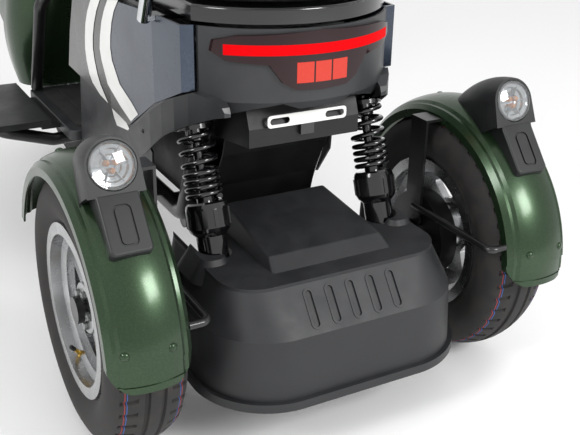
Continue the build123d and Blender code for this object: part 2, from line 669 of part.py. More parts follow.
with BuildPart() as frame:
    for side in SIDES.values():
        add_tube(floor_rail(side), RAIL_R, RAIL_BEND)
        add_tube(
            [
                at(side * SEAT_RAIL_X, TAIL_BAR_Y, SEAT_RAIL_Z - 60),
                at(side * SEAT_RAIL_X, 120, SEAT_RAIL_Z),
                at(side * SEAT_RAIL_X, SEAT_FRONT - 30, SEAT_RAIL_Z),
                at(side * SEAT_RAIL_X, SEAT_FRONT + 30, RAIL_Z),
            ],
            SEAT_RAIL_R,
            TUBE_BEND,
        )
        add_tube([at(side * SEAT_RAIL_X, CROSS_Y, CROSS_Z), at(side * SEAT_RAIL_X, CROSS_Y + 20, SEAT_RAIL_Z - 10)], SEAT_RAIL_R, 0)
        for ear in (-1, 1):
            inner = side * SHOCK_X + ear * (EYE_HALF + SEAT_GAP)
            plate = [(CROSS_Y, CROSS_Z + 12), (SHOCK_TOP_Y, SHOCK_TOP_Z + 13), (SHOCK_TOP_Y - 12, SHOCK_TOP_Z + 9), (SHOCK_TOP_Y - 12, SHOCK_TOP_Z - 10), (CROSS_Y, CROSS_Z - 12)]
            add_side_plate(plate, inner, inner + ear * LUG_THICK)
        add_bar_x(SHOCK_TOP_Y, SHOCK_TOP_Z, 6, side * SHOCK_X - EYE_HALF - 10, side * SHOCK_X + EYE_HALF + 10)
    add_bar_x(CROSS_Y, CROSS_Z, TAIL_CROSS_R, -SHOCK_X - EYE_HALF - 8, SHOCK_X + EYE_HALF + 8)
    add_bar_x(TAIL_BAR_Y, SEAT_RAIL_Z - 60, TAIL_BAR_R, -SEAT_RAIL_X, SEAT_RAIL_X)
    add_bar_x(ARM_PIVOT_Y, ARM_PIVOT_Z, RAIL_R, -RAIL_X, RAIL_X)
    for y in (BATTERY_REAR + 60, BATTERY_FRONT - 40, FLOOR_FRONT - 130):
        add_bar_x(y, FLOOR_TOP - FLOOR_THICK - CROSS_R - SEAT_GAP, CROSS_R, -RAIL_X, RAIL_X)
    head = STEER.offset(HEAD_FROM)
    with BuildSketch(head):
        Circle(HEAD_TUBE_R)
    extrude(amount=HEAD_TO - HEAD_FROM)
    add_tube(DOWN_TUBE, RAIL_R, DOWN_BEND)
    add_bar_x(FLOOR_FRONT - 90, RAIL_Z, RAIL_R, -RAIL_X, RAIL_X)
    with BuildSketch(head.offset(-1)):
        Circle(STEERER_R + RUNNING_GAP)
    extrude(amount=HEAD_TO - HEAD_FROM + 2, mode=Mode.SUBTRACT)
save(frame.part, "frame")

# ---- Seat box, battery bay below and open load space above ----
BAY_TOP = 198
BOX_TOP = 405
BOX_REAR = 22
BOX_FRONT_LOW = 612
BOX_FRONT_TOP = 550
TAIL_FLOOR_REAR = -34
TAIL_FLOOR_Z = 234
BUCKET_REAR = CROSS_Y + TAIL_CROSS_R + 10
BUCKET_FRONT = 520
HINGE_Y = SEAT_FRONT - 12
HINGE_Z = SEAT_UNDERSIDE - 6
PIN_R = 5
KNUCKLE_R = 11
HINGE_POST_X = 40
HINGE_EAR_X = 72

with BuildPart() as seat_box:
    bay_rear = BATTERY_REAR - 33
    profile = [
        (TAIL_FLOOR_REAR, TAIL_FLOOR_Z),
        (CROSS_Y + RAIL_R + 6, TAIL_FLOOR_Z - 20),
        (bay_rear, BAY_TOP - 30),
        (bay_rear, BATTERY_FLOOR),
        (BOX_FRONT_LOW, BATTERY_FLOOR),
        (BOX_FRONT_TOP, BOX_TOP),
        (BOX_REAR, BOX_TOP),
        (TAIL_FLOOR_REAR, TAIL_FLOOR_Z + 30),
    ]
    add_side_plate(profile, -BOX_HALF, BOX_HALF)
    flap = [(48, TAIL_FLOOR_Z + 2), (66, 188), (102, 120), (118, 68), (122, 69), (106, 122), (70, 190), (54, TAIL_FLOOR_Z + 2)]
    add_side_plate(flap, -BOX_HALF, BOX_HALF)
    inner = BOX_HALF - BOX_WALL
    bay = [
        (bay_rear + BOX_WALL, BATTERY_FLOOR - 1),
        (BOX_FRONT_LOW - 2 * BOX_WALL, BATTERY_FLOOR - 1),
        (BOX_FRONT_LOW - 30, BAY_TOP - BOX_WALL),
        (bay_rear + BOX_WALL, BAY_TOP - BOX_WALL),
    ]
    add_side_plate(bay, -inner, inner, Mode.SUBTRACT)
    add_block((-inner, inner), (BUCKET_REAR, BUCKET_FRONT), (BAY_TOP + 16, BOX_TOP + 1), Mode.SUBTRACT)
    add_bar_x(CROSS_Y, CROSS_Z, TAIL_CROSS_R + SEAT_GAP, -BOX_HALF - 1, BOX_HALF + 1, Mode.SUBTRACT)
    add_bar_x(ARM_PIVOT_Y, ARM_PIVOT_Z, RAIL_R + SEAT_GAP, -BOX_HALF - 1, BOX_HALF + 1, Mode.SUBTRACT)
    add_bar_x(TAIL_BAR_Y, SEAT_RAIL_Z - 60, TAIL_BAR_R + SEAT_GAP, -BOX_HALF - 1, BOX_HALF + 1, Mode.SUBTRACT)
    add_bar_x(HINGE_Y, HINGE_Z, PIN_R, -HINGE_EAR_X - 14, HINGE_EAR_X + 14)
    for side in SIDES.values():
        post = side * HINGE_POST_X
        add_block((post - 9, post + 9), (HINGE_Y - 8, HINGE_Y + 1), (BOX_TOP - 10, HINGE_Z + 3))
save(seat_box.part, "seat_box")

# ---- Floor, its mat and the panels under the seat ----
with BuildPart() as floor_board:
    add_block((-FLOOR_HALF_WIDTH, FLOOR_HALF_WIDTH), (BOX_FRONT_LOW + 12, FLOOR_FRONT), (BATTERY_FLOOR, FLOOR_TOP))
    fillet(floor_board.edges().filter_by(Axis.Z), 18)
    fillet(floor_board.faces().sort_by(Axis.Z)[-1].edges(), 3)
    add_tube(DOWN_TUBE, RAIL_R + SEAT_GAP, DOWN_BEND, Mode.SUBTRACT)
save(floor_board.part, "floor_board")

MAT_RIBS = 9
MAT_RIB_WIDTH = 8
MAT_MARGIN = 22
with BuildPart() as floor_mat:
    half = FLOOR_HALF_WIDTH - MAT_MARGIN
    mat_rear = BOX_FRONT_LOW + 12 + MAT_MARGIN
    mat_front = FLOOR_FRONT - 2 * MAT_MARGIN
    add_block((-half, half), (mat_rear, mat_front), (FLOOR_TOP, FLOOR_TOP + MAT_THICK))
    fillet(floor_mat.edges().filter_by(Axis.Z), 14)
    with Locations(at(0, (mat_rear + mat_front) / 2, FLOOR_TOP + MAT_THICK)):
        with GridLocations((2 * half - 40) / MAT_RIBS, 1, MAT_RIBS, 1):
            Box(MAT_RIB_WIDTH, mat_front - mat_rear - 40, 4)
save(floor_mat.part, "floor_mat")

FRONT_SLOPE = (BOX_FRONT_TOP - BOX_FRONT_LOW) / (BOX_TOP - BATTERY_FLOOR)


def front_y(z, ahead):
    """How far forward the sloped front of the seat box is at a height, plus a distance ahead of it."""
    return BOX_FRONT_LOW + FRONT_SLOPE * (z - BATTERY_FLOOR) + ahead


UNDER_X = 183
UNDER_WALL = 4
PANEL_LOW_TIP = (240, 205)
FRONT_PANEL = [(BATTERY_FLOOR, 1), (BATTERY_FLOOR, 9), (BOX_TOP - 7, 9), (BOX_TOP - 7, 1)]
with BuildPart() as under_panels:
    low = BATTERY_FLOOR + 6
    outline = [
        (PANEL_LOW_TIP[0] - 10, low),
        (front_y(low, 0), low),
        (front_y(225, 0), 225),
        (400, 222),
        (262, 212),
        (180, 170),
        (185, 120),
    ]
    for side in SIDES.values():
        add_side_plate(outline, *sorted((side * UNDER_X, side * (UNDER_X - UNDER_WALL))))
        for y in (BATTERY_REAR + 60, BATTERY_FRONT - 40):
            add_block(
                sorted((side * (UNDER_X - 1), side * (RAIL_X + RAIL_R + SEAT_GAP))),
                (y - 15, y + 15),
                (low, low + 4),
            )
    add_side_plate([(front_y(z, ahead), z) for z, ahead in FRONT_PANEL], -UNDER_X, UNDER_X)
    for side in SIDES.values():
        add_block(
            (side * RAIL_X - RAIL_R - 3, side * RAIL_X + RAIL_R + 3),
            (BOX_FRONT_LOW - 60, BOX_FRONT_LOW + 40),
            (RAIL_Z - 40, RAIL_Z + RAIL_R + 2),
            Mode.SUBTRACT,
        )
        add_block(
            (side * SEAT_RAIL_X - SEAT_RAIL_R - 4, side * SEAT_RAIL_X + SEAT_RAIL_R + 4),
            (BOX_FRONT_TOP - 20, BOX_FRONT_LOW + 20),
            (RAIL_Z, SEAT_RAIL_Z),
            Mode.SUBTRACT,
        )
save(under_panels.part, "under_panels")

# ---- Side panels: an outline seen from the side, bent along a band seen from above ----
SIDE_TOP = SEAT_UNDERSIDE - 1
SIDE_REAR = 8
SIDE_X = 200


def draw_side_band(side):
    """Draws the plan of a side panel: round its rear corner, then along the side."""
    corner = [(SEAT_HALF_WIDTH, SIDE_REAR), (SIDE_X - 8, SIDE_REAR + 5)]
    along = [(SIDE_X, 110), (SIDE_X + 4, 330), (SIDE_X - 2, SEAT_FRONT + 80)]
    behind = [(x - PANEL_WALL, y + PANEL_WALL) for x, y in corner]
    beside = [(x - PANEL_WALL, y) for x, y in along]
    with BuildLine() as band:
        Polyline(*[(side * x, y) for x, y in corner + along + beside[::-1] + behind[::-1] + corner[:1]])
    make_face(band.edges())


GRAB_R = 11
GRAB_X = 211
GRAB_Y = 113
GRAB_FOOT_Z = SEAT_UNDERSIDE - 6
GRAB_FOOT_HALF = 3.5


def add_grab_foot(side, gap, mode=Mode.ADD):
    """Adds the flat foot that carries the grab rail from the seat rail, grown by a gap where it is a slot."""
    reach = sorted((side * (GRAB_X + gap), side * (SEAT_RAIL_X - 9 - gap)))
    width = (GRAB_Y - 18 - gap, GRAB_Y + 18 + gap)
    add_block(reach, width, (GRAB_FOOT_Z - GRAB_FOOT_HALF - gap, GRAB_FOOT_Z + GRAB_FOOT_HALF + 2 * gap), mode)
    post = sorted((side * (SEAT_RAIL_X - 9 - gap), side * (SEAT_RAIL_X + 9 + gap)))
    add_block(post, width, (SEAT_RAIL_Z + SEAT_RAIL_R + SEAT_GAP, GRAB_FOOT_Z), mode)


SIDE_OUTLINE = [
    (SIDE_REAR - 20, SIDE_TOP),
    (SIDE_REAR - 20, 326),
    (SIDE_REAR, 326),
    (113, 280),
    PANEL_LOW_TIP,
    (386, 217),
    (620, 222),
    (590, 300),
    (553, 369),
    (528, 404),
    (500, 412),
    (286, 416),
    (113, SIDE_TOP),
]
for name, side in SIDES.items():
    with BuildPart() as side_panel:
        with BuildSketch(TOP.offset(150)):
            draw_side_band(side)
        extrude(amount=320)
        with BuildSketch(SIDE.offset(-300)):
            Polygon(*SIDE_OUTLINE, align=None)
        extrude(amount=600, mode=Mode.INTERSECT)
        add_grab_foot(side, 1, Mode.SUBTRACT)
    save(side_panel.part, f"side_panel_{name}")

# ---- Tail panel: a bow from side to side with a wing over each shock ----
TAIL_CENTRE_Y = TAIL_BOW_R - TAIL_BOW_BACK
TAIL_TOP = SEAT_UNDERSIDE - 1
TAIL_HALF = SEAT_HALF_WIDTH - 4
SHELL_LOW = 290
SHELL_STEP = 314
SHELL_DRAW = 12
SHELL_FLOOR = 316
WING_X = SIDE_X + 8
WING_INNER = 136
WING_TO_SEAT = 1
SEAT_ROOM = 6
# The shell's lower edge seen from behind, and a wing's upper and lower edges seen from the side.
SHELL_EDGE = [(0, 303), (32, 301), (60, 312), (100, 303), (132, 291), (TAIL_HALF, 291)]
WING_UPPER = [(-40, 308), (-20, 321), (1, 325.5), (113, 279.5), (215, 219), (PANEL_LOW_TIP[0] - 3, 204)]
WING_LOWER = [(178, 168), (143, 190), (79, 234), (14, 269), (-28, 289), (-46, 294)]
# The wing's outer edge seen from above, which runs round the rear corner.
WING_PLAN = [(120, -46), (146, -43), (166, -20), (183, 10), (195, 40), (203, 75), (WING_X, 115), (WING_X, 320)]


def add_wing(side, inset, low, mode=Mode.ADD):
    """Adds a wing that slopes down at its outer edge, or with an inset the hollow under it."""
    sections = []
    for x, fall in ((WING_INNER - inset, 0), (SIDE_X - inset, 0), (WING_X - inset, 11)):
        with BuildSketch(SIDE.offset(side * x)) as level:
            upper = [(y + inset, z - fall - 1.2 * inset) for y, z in WING_UPPER]
            lower = [(y + inset, z - min(fall, 4) - low) for y, z in WING_LOWER]
            Polygon(*upper, *lower, align=None)
        sections.append(level.sketch)
    loft(sections=sections, ruled=True, mode=mode)


def add_shell(inset, mode=Mode.ADD):
    """Adds the round body of the shell, drawn in at its foot."""
    with BuildSketch(TOP.offset(SHELL_LOW - 1)) as foot:
        with Locations((0, TAIL_CENTRE_Y)):
            Circle(TAIL_BOW_R - SHELL_DRAW - inset)
    with BuildSketch(TOP.offset(SHELL_STEP)) as step:
        with Locations((0, TAIL_CENTRE_Y)):
            Circle(TAIL_BOW_R - inset)
    loft(sections=[foot.sketch, step.sketch], mode=mode)
    extrude(step.sketch, amount=TAIL_TOP - SHELL_STEP + inset, mode=mode)


with BuildPart() as tail_shell:
    add_shell(0)
    add_shell(PANEL_WALL, Mode.SUBTRACT)
    with BuildSketch(TOP.offset(SHELL_FLOOR)):
        with Locations((0, TAIL_CENTRE_Y)):
            Circle(TAIL_BOW_R - 2)
        with Locations((0, TAIL_FLOOR_REAR - 2)):
            Rectangle(4 * TAIL_BOW_R, 3 * TAIL_BOW_R, align=(Align.CENTER, Align.MIN), mode=Mode.SUBTRACT)
    extrude(amount=3)
    with BuildSketch(REAR.offset(TAIL_BOW_BACK + 60)):
        mirrored = [(-x, z) for x, z in reversed(SHELL_EDGE[1:])]
        Polygon(*SHELL_EDGE, (TAIL_HALF, TAIL_TOP), (-TAIL_HALF, TAIL_TOP), *mirrored, align=None)
    extrude(amount=-TAIL_BOW_BACK - 60 - TAIL_BAR_Y, mode=Mode.INTERSECT)

def cut_wings_to_plan(inset):
    """Cuts both wings, or the hollows under them, to their outer edge seen from above."""
    with BuildSketch(TOP.offset(WING_LOWER[0][1] - 40)) as plan:
        Polygon(*WING_PLAN, *[(-x, y) for x, y in reversed(WING_PLAN)], align=None)
        if inset:
            offset(amount=-inset, kind=Kind.INTERSECTION, mode=Mode.REPLACE)
    extrude(plan.sketch, amount=200, mode=Mode.INTERSECT)


with BuildPart() as wing_hollows:
    for side in SIDES.values():
        add_wing(side, PANEL_WALL, 14)
    cut_wings_to_plan(PANEL_WALL)

with BuildPart() as tail_wings:
    for side in SIDES.values():
        add_wing(side, 0, 0)
    cut_wings_to_plan(0)
    add(wing_hollows.part, mode=Mode.SUBTRACT)
    # Room for each shock's upper seat, which comes up inside the wing.
    for side in SIDES.values():
        with BuildSketch(shock_plane(side).offset(SPRING_TO - SEAT_ROOM)) as room:
            Circle(UPPER_SEAT_R + WING_TO_SEAT)
        extrude(room.sketch, amount=SEAT_THICK + 2 * SEAT_ROOM, mode=Mode.SUBTRACT)

with BuildPart() as tail_panel:
    add(tail_shell.part)
    add(tail_wings.part)
    for side in SIDES.values():
        tab = (side * SEAT_RAIL_X - 6, side * SEAT_RAIL_X + 6)
        add_block(tab, (-40, TAIL_BAR_Y - TAIL_BAR_R - SEAT_GAP), (SEAT_RAIL_Z - 66, SEAT_RAIL_Z - 56))
save(tail_panel.part, "tail_panel")

LENS_THICK = 6
LENS_OUTLINE = [(0, 424), (127, 417), (154, 409), (157, 392), (140, 379), (84, 374), (64, 346), (44, 335), (0, 333)]
with BuildPart() as tail_lamp:
    with BuildSketch(TOP.offset(320)):
        with Locations((0, TAIL_CENTRE_Y)):
            Circle(TAIL_BOW_R + SEAT_GAP + LENS_THICK)
            Circle(TAIL_BOW_R + SEAT_GAP, mode=Mode.SUBTRACT)
    extrude(amount=120)
    with BuildSketch(REAR.offset(TAIL_BOW_BACK + 60)):
        Polygon(*LENS_OUTLINE, *[(-x, z) for x, z in reversed(LENS_OUTLINE[1:-1])], align=None)
    extrude(amount=-100 - 60, mode=Mode.INTERSECT)
save(tail_lamp.part, "tail_lamp")

PLATE_Y = -42
PLATE_Z = 275
PLATE_WIDTH = 143
PLATE_HEIGHT = 20
PLATE_THICK = 2
SLOT_SPACING = 99.6
SLOT_LENGTH = 35
SLOT_WIDTH = 11
with BuildPart() as plate_bracket:
    with BuildSketch(REAR.offset(-PLATE_Y)):
        with Locations((0, PLATE_Z)):
            RectangleRounded(PLATE_WIDTH, PLATE_HEIGHT, 6)
            with GridLocations(SLOT_SPACING, 1, 2, 1):
                SlotOverall(SLOT_LENGTH, SLOT_WIDTH, mode=Mode.SUBTRACT)
    extrude(amount=-PLATE_THICK)
    add_block((-12, 12), (PLATE_Y, TAIL_FLOOR_REAR - SEAT_GAP), (PLATE_Z - 28, PLATE_Z - 8))
save(plate_bracket.part, "plate_bracket")

# ---- Front body: leg shield behind the steering axis and nose cowl ahead of it ----
SHIELD_LOW = 380
SHIELD_BACK = -190
SHIELD_TOP = 900
# Height up the axis, half width, back, front and corner radius of each level.
FRONT_LEVELS = [(SHIELD_LOW, 205, SHIELD_BACK, 60, 60), (640, 232, SHIELD_BACK, 120, 100), (SHIELD_TOP, 140, SHIELD_BACK + 30, 60, 50)]
STEM_HOLE_R = STEERER_R + PIVOT_CLEAR + 3


def add_front_form(inset, mode=Mode.ADD):
    """Adds the front body's outer form as a loft up the steering axis, or the hollow inside it."""
    sections = []
    for up, half, back, front, corner in FRONT_LEVELS:
        with BuildSketch(STEER.offset(up - (inset if up == SHIELD_TOP else 0))) as level:
            with Locations((0, (back + front) / 2)):
                RectangleRounded(2 * (half - inset), front - back - 2 * inset, corner - inset)
        sections.append(level.sketch)
    loft(sections=sections, mode=mode)


SPLIT = -70
with BuildPart() as leg_shield:
    add_front_form(0)
    add_front_form(PANEL_WALL, Mode.SUBTRACT)
    with BuildSketch(STEER.offset(SHIELD_LOW - 60)):
        with Locations((0, SPLIT + 300)):
            Rectangle(900, 600)
    extrude(amount=SHIELD_TOP, mode=Mode.SUBTRACT)
    add_block((-400, 400), (0, 1500), (-300, FLOOR_TOP + SEAT_GAP), Mode.SUBTRACT)
    with BuildSketch(STEER):
        Circle(STEM_HOLE_R)
    extrude(amount=SHIELD_TOP + 10, mode=Mode.SUBTRACT)
save(leg_shield.part, "leg_shield")

NOSE_LOW = 540
with BuildPart() as nose_cowl:
    add_front_form(0)
    add_front_form(PANEL_WALL, Mode.SUBTRACT)
    with BuildSketch(STEER.offset(0)):
        with Locations((0, SPLIT + SEAT_GAP - 300)):
            Rectangle(900, 600)
    extrude(amount=SHIELD_TOP + 300, mode=Mode.SUBTRACT)
    with BuildSketch(STEER.offset(0)):
        Rectangle(900, 900)
    extrude(amount=NOSE_LOW, mode=Mode.SUBTRACT)
    with BuildSketch(STEER):
        Circle(STEM_HOLE_R)
    extrude(amount=SHIELD_TOP + 10, mode=Mode.SUBTRACT)
save(nose_cowl.part, "nose_cowl")

GUARD_R = 14
GUARD_X = 190
GUARD_OFF = 24
STEP_IN = 233
STEP_OUT = 345
STEP_REAR = FLOOR_FRONT - 315
STEP_FRONT = FLOOR_FRONT + 5
STEP_Z = 92
STEP_THICK = 14
with BuildPart() as guard_tubes:
    under_step = STEP_Z - STEP_THICK - GUARD_R - SEAT_GAP
    for side in SIDES.values():
        add_tube(
            [
                at(side * RAIL_X, STEP_REAR + 50, RAIL_Z),
                at(side * (FLOOR_HALF_WIDTH + 15), STEP_REAR + 50, RAIL_Z - 6),
                at(side * (STEP_OUT - 5), STEP_REAR + 60, under_step),
                at(side * (STEP_OUT - 5), STEP_FRONT + 16, under_step),
                at(side * (FLOOR_HALF_WIDTH + 15), STEP_FRONT + 16, RAIL_Z - 6),
                at(side * RAIL_X, FLOOR_FRONT - 75, RAIL_Z),
            ],
            GUARD_R,
            32,
        )
        add_tube(floor_rail(side), RAIL_R + SEAT_GAP, RAIL_BEND, Mode.SUBTRACT)
        add_tube(
            [
                on_steer(side * GUARD_X, SHIELD_BACK - GUARD_OFF, (AXLE_Z + FLOOR_TOP) / cos(radians(RAKE)) + 114),
                on_steer(side * GUARD_X, SHIELD_BACK - GUARD_OFF, 690),
                on_steer(side * (GUARD_X - 35), SHIELD_BACK - GUARD_R / 2 + 1, 740),
            ],
            GUARD_R,
            25,
        )
save(guard_tubes.part, "guard_tubes")

with BuildPart() as side_steps:
    for side in SIDES.values():
        add_block(sorted((side * STEP_IN, side * STEP_OUT)), (STEP_REAR, STEP_FRONT), (STEP_Z - STEP_THICK, STEP_Z))
        add_block(sorted((side * STEP_IN, side * (FLOOR_HALF_WIDTH + SEAT_GAP))), (STEP_REAR + 40, STEP_FRONT - 60), (FLOOR_TOP - 16, FLOOR_TOP - 6))
        add_block(sorted((side * STEP_IN, side * (STEP_IN + 12))), (STEP_REAR + 40, STEP_FRONT - 60), (FLOOR_TOP - 16, STEP_Z - 2))
save(side_steps.part, "side_steps")

# ---- Grab rail and backrest ----
BACKREST_Z = 640
BACKREST_HALF = 150
BACKREST_REAR = -128
BACKREST_THICK = 53
GRAB_BACK = BACKREST_REAR - GRAB_R - SEAT_GAP
with BuildPart() as grab_rail:
    add_tube(
        [
            at(-GRAB_X, GRAB_Y, GRAB_FOOT_Z - GRAB_FOOT_HALF),
            at(-GRAB_X - 4, 60, SIDE_TOP + 80),
            at(-BACKREST_HALF - 34, GRAB_BACK, BACKREST_Z),
            at(BACKREST_HALF + 34, GRAB_BACK, BACKREST_Z),
            at(GRAB_X + 6, 60, SIDE_TOP + 80),
            at(GRAB_X, GRAB_Y, GRAB_FOOT_Z - GRAB_FOOT_HALF),
        ],
        GRAB_R,
        40,
    )
    for side in SIDES.values():
        add_grab_foot(side, 0)
save(grab_rail.part, "grab_rail")

with BuildPart() as backrest:
    add_block((-BACKREST_HALF, BACKREST_HALF), (BACKREST_REAR, BACKREST_REAR + BACKREST_THICK), (BACKREST_Z - 75, BACKREST_Z + 125))
    fillet(backrest.edges(), 20)
save(backrest.part, "backrest")

# ---- Seat, a lid hinged at its front edge ----
SEAT_NOSE_HALF = 125
PAN_Z = SEAT_UNDERSIDE + PIVOT_CLEAR - 1


def draw_seat(inset):
    """Draws the seat's plan: a bow behind, straight sides and a narrower nose."""
    half = SEAT_HALF_WIDTH - inset
    with Locations((0, TAIL_CENTRE_Y)):
        Circle(TAIL_BOW_R - 6 - inset)
    with Locations((0, TAIL_CENTRE_Y)):
        Rectangle(2 * half, 3 * TAIL_BOW_R, mode=Mode.INTERSECT)
    nose = [(half, TAIL_CENTRE_Y), (half, 330), (SEAT_NOSE_HALF - inset, SEAT_FRONT - inset)]
    Polygon(*nose, *[(-x, y) for x, y in reversed(nose)], align=None)
    with Locations((0, TAIL_CENTRE_Y + TAIL_BOW_R)):
        Rectangle(1, 1)


with BuildPart() as seat_pan:
    with BuildSketch(TOP.offset(PAN_Z)):
        draw_seat(0)
    extrude(amount=PAN_THICK)
    fillet(seat_pan.faces().sort_by(Axis.Z)[-1].edges(), 4)
    for side in SIDES.values():
        ear = side * HINGE_EAR_X
        add_bar_x(HINGE_Y, HINGE_Z, KNUCKLE_R, ear - 8, ear + 8)
        add_block((ear - 8, ear + 8), (HINGE_Y - KNUCKLE_R, HINGE_Y + KNUCKLE_R), (HINGE_Z, PAN_Z + 2))
    add_bar_x(HINGE_Y, HINGE_Z, PIN_R + RUNNING_GAP, -HINGE_EAR_X - 20, HINGE_EAR_X + 20, Mode.SUBTRACT)
save(seat_pan.part, "seat_pan")

with BuildPart() as seat_cushion:
    with BuildSketch(TOP.offset(PAN_Z + PAN_THICK)):
        draw_seat(7)
    extrude(amount=CUSHION_THICK)
    fillet(seat_cushion.faces().sort_by(Axis.Z)[-1].edges(), 24)
save(seat_cushion.part, "seat_cushion")

# ---- Steering: fork, front axle, handlebar and what they carry ----
SLIDER_R = 22
SLIDER_TOP = 455
STANCHION_R = 15
CROWN_FROM = 503
CROWN_TO = 535
STEM_TOP = 1065
BAR_UP = 1045
BAR_R = 11
BAR_RISE = 85
BAR_BACK = 60
GRIP_X = 232
BAR_END_X = 350
BAR_PATH = [
    on_steer(-BAR_END_X, -BAR_BACK, BAR_UP + BAR_RISE),
    on_steer(-150, -BAR_BACK / 3, BAR_UP + BAR_RISE),
    on_steer(-80, 0, BAR_UP),
    on_steer(80, 0, BAR_UP),
    on_steer(150, -BAR_BACK / 3, BAR_UP + BAR_RISE),
    on_steer(BAR_END_X, -BAR_BACK, BAR_UP + BAR_RISE),
]

FRONT_FENDER_R = FRONT_TYRE_R + FENDER_GAP - 4
FRONT_FENDER_HALF = FORK_HALF_SPACING - SLIDER_R - 3
FRONT_FENDER_DEPTH = 40
FRONT_FENDER_START = 35
FRONT_FENDER_END = 170
TAB_THICK = 9


def add_steer_column(x, y, low, high, radius, mode=Mode.ADD):
    """Adds a round column along the steering axis, off it by x and y."""
    with BuildSketch(STEER.offset(low)) as ring:
        with Locations((x, y)):
            Circle(radius)
    extrude(ring.sketch, amount=high - low, mode=mode)


with BuildPart() as fork:
    add_steer_column(0, 0, CROWN_TO - 10, STEM_TOP, STEERER_R)
    with BuildSketch(STEER.offset(CROWN_FROM)):
        with Locations((-FORK_HALF_SPACING, FORK_OFFSET), (FORK_HALF_SPACING, FORK_OFFSET), (0, 0)):
            Circle(SLIDER_R + 2)
        make_hull()
    extrude(amount=CROWN_TO - CROWN_FROM)
    for side in SIDES.values():
        leg = side * FORK_HALF_SPACING
        add_steer_column(leg, FORK_OFFSET, FRONT_AXLE_UP - 24, SLIDER_TOP, SLIDER_R)
        add_steer_column(leg, FORK_OFFSET, SLIDER_TOP - 20, CROWN_FROM + 2, STANCHION_R)
        tab_from = FORK_HALF_SPACING - SLIDER_R - 3 + SEAT_GAP
        with BuildSketch(STEER.offset(FRONT_AXLE_UP + FRONT_FENDER_R - 34)):
            with Locations((side * (tab_from + TAB_THICK / 2), FORK_OFFSET)):
                Rectangle(TAB_THICK, 26)
        extrude(amount=20)
    with Locations(Location(front_wheel, (0, 90, 0))):
        Cylinder(FRONT_SPINDLE_R + SEAT_GAP, 300, mode=Mode.SUBTRACT)
save(fork.part, "fork")

with BuildPart() as front_axle:
    reach = FORK_HALF_SPACING + SLIDER_R
    spacer_from = FRONT_HUB_HALF + PIVOT_CLEAR
    with Locations(Location(front_wheel, (0, 90, 0))):
        Cylinder(FRONT_SPINDLE_R, 2 * reach + 16)
    for side in SIDES.values():
        with Locations(Location(front_wheel + Vector(side * (spacer_from + reach - 2 * SLIDER_R - SEAT_GAP) / 2, 0, 0), (0, 90, 0))):
            Cylinder(14, reach - 2 * SLIDER_R - SEAT_GAP - spacer_from)
        with Locations(Location(front_wheel + Vector(side * (reach + 4 + SEAT_GAP), 0, 0), (0, 90, 0))):
            Cylinder(13, 8)
save(front_axle.part, "front_axle")

with BuildPart() as front_fender:
    with BuildSketch(fender_plane(front_wheel, FRONT_FENDER_START)):
        draw_fender(FRONT_FENDER_HALF, FRONT_FENDER_R, FRONT_FENDER_R - FRONT_FENDER_DEPTH)
        draw_fender(
            FRONT_FENDER_HALF - FENDER_WALL,
            FRONT_FENDER_R - FENDER_WALL,
            FRONT_FENDER_R - FRONT_FENDER_DEPTH - 1,
            Mode.SUBTRACT,
        )
    revolve(axis=Axis(front_wheel, (1, 0, 0)), revolution_arc=FRONT_FENDER_END - FRONT_FENDER_START)
save(front_fender.part, "front_fender")

with BuildPart() as handlebar:
    add_tube(BAR_PATH, BAR_R, 40)
    add_steer_column(0, 0, BAR_UP - 24, BAR_UP + 24, STEERER_R + 9)
    add_steer_column(0, 0, BAR_UP - 30, STEM_TOP + SEAT_GAP, STEERER_R + SEAT_GAP, Mode.SUBTRACT)
save(handlebar.part, "handlebar")

GRIP_R = 16


def bar_point(x):
    """The point on the handlebar's straight end at a distance from the middle."""
    share = (abs(x) - 150) / (BAR_END_X - 150)
    back = -BAR_BACK / 3 - share * BAR_BACK * 2 / 3
    return on_steer(x, back, BAR_UP + BAR_RISE)


with BuildPart() as grips:
    for side in SIDES.values():
        add_tube([bar_point(side * GRIP_X), bar_point(side * (BAR_END_X + 4))], GRIP_R, 0)
        add_tube([bar_point(side * (GRIP_X - 10)), bar_point(side * (BAR_END_X + SEAT_GAP))], BAR_R + SEAT_GAP, 0, Mode.SUBTRACT)
save(grips.part, "grips")

LEVER_AHEAD = 62
with BuildPart() as levers:
    for side in SIDES.values():
        clamp_from = bar_point(side * (GRIP_X - 34))
        clamp_to = bar_point(side * (GRIP_X - 8))
        add_tube([clamp_from, clamp_to], BAR_R + 7, 0)
        forward = on_steer(0, LEVER_AHEAD, 0) - on_steer(0, 0, 0)
        root = bar_point(side * (GRIP_X - 21))
        add_tube([root, root + forward * 0.6, bar_point(side * (GRIP_X + 20)) + forward, bar_point(side * (BAR_END_X - 10)) + forward * 0.8], 5, 12)
        add_tube([bar_point(side * (GRIP_X - 50)), bar_point(side * (GRIP_X + 5))], BAR_R + SEAT_GAP, 0, Mode.SUBTRACT)
save(levers.part, "levers")

MIRROR_X = 255
MIRROR_UP = 190
with BuildPart() as mirrors:
    for side in SIDES.values():
        foot = bar_point(side * 180)
        top = on_steer(side * MIRROR_X, -30, BAR_UP + BAR_RISE + MIRROR_UP)
        add_tube([foot, foot + Vector(0, 0, 50), top], 5, 20)
        add_tube([bar_point(side * 168), bar_point(side * 192)], BAR_R + 6, 0)
        add_tube([bar_point(side * 150), bar_point(side * 200)], BAR_R + SEAT_GAP, 0, Mode.SUBTRACT)
        with BuildSketch(Plane(origin=top, x_dir=(1, 0, 0), z_dir=(0, -1, 0.1))):
            SlotOverall(120, 76)
        extrude(amount=14)
save(mirrors.part, "mirrors")

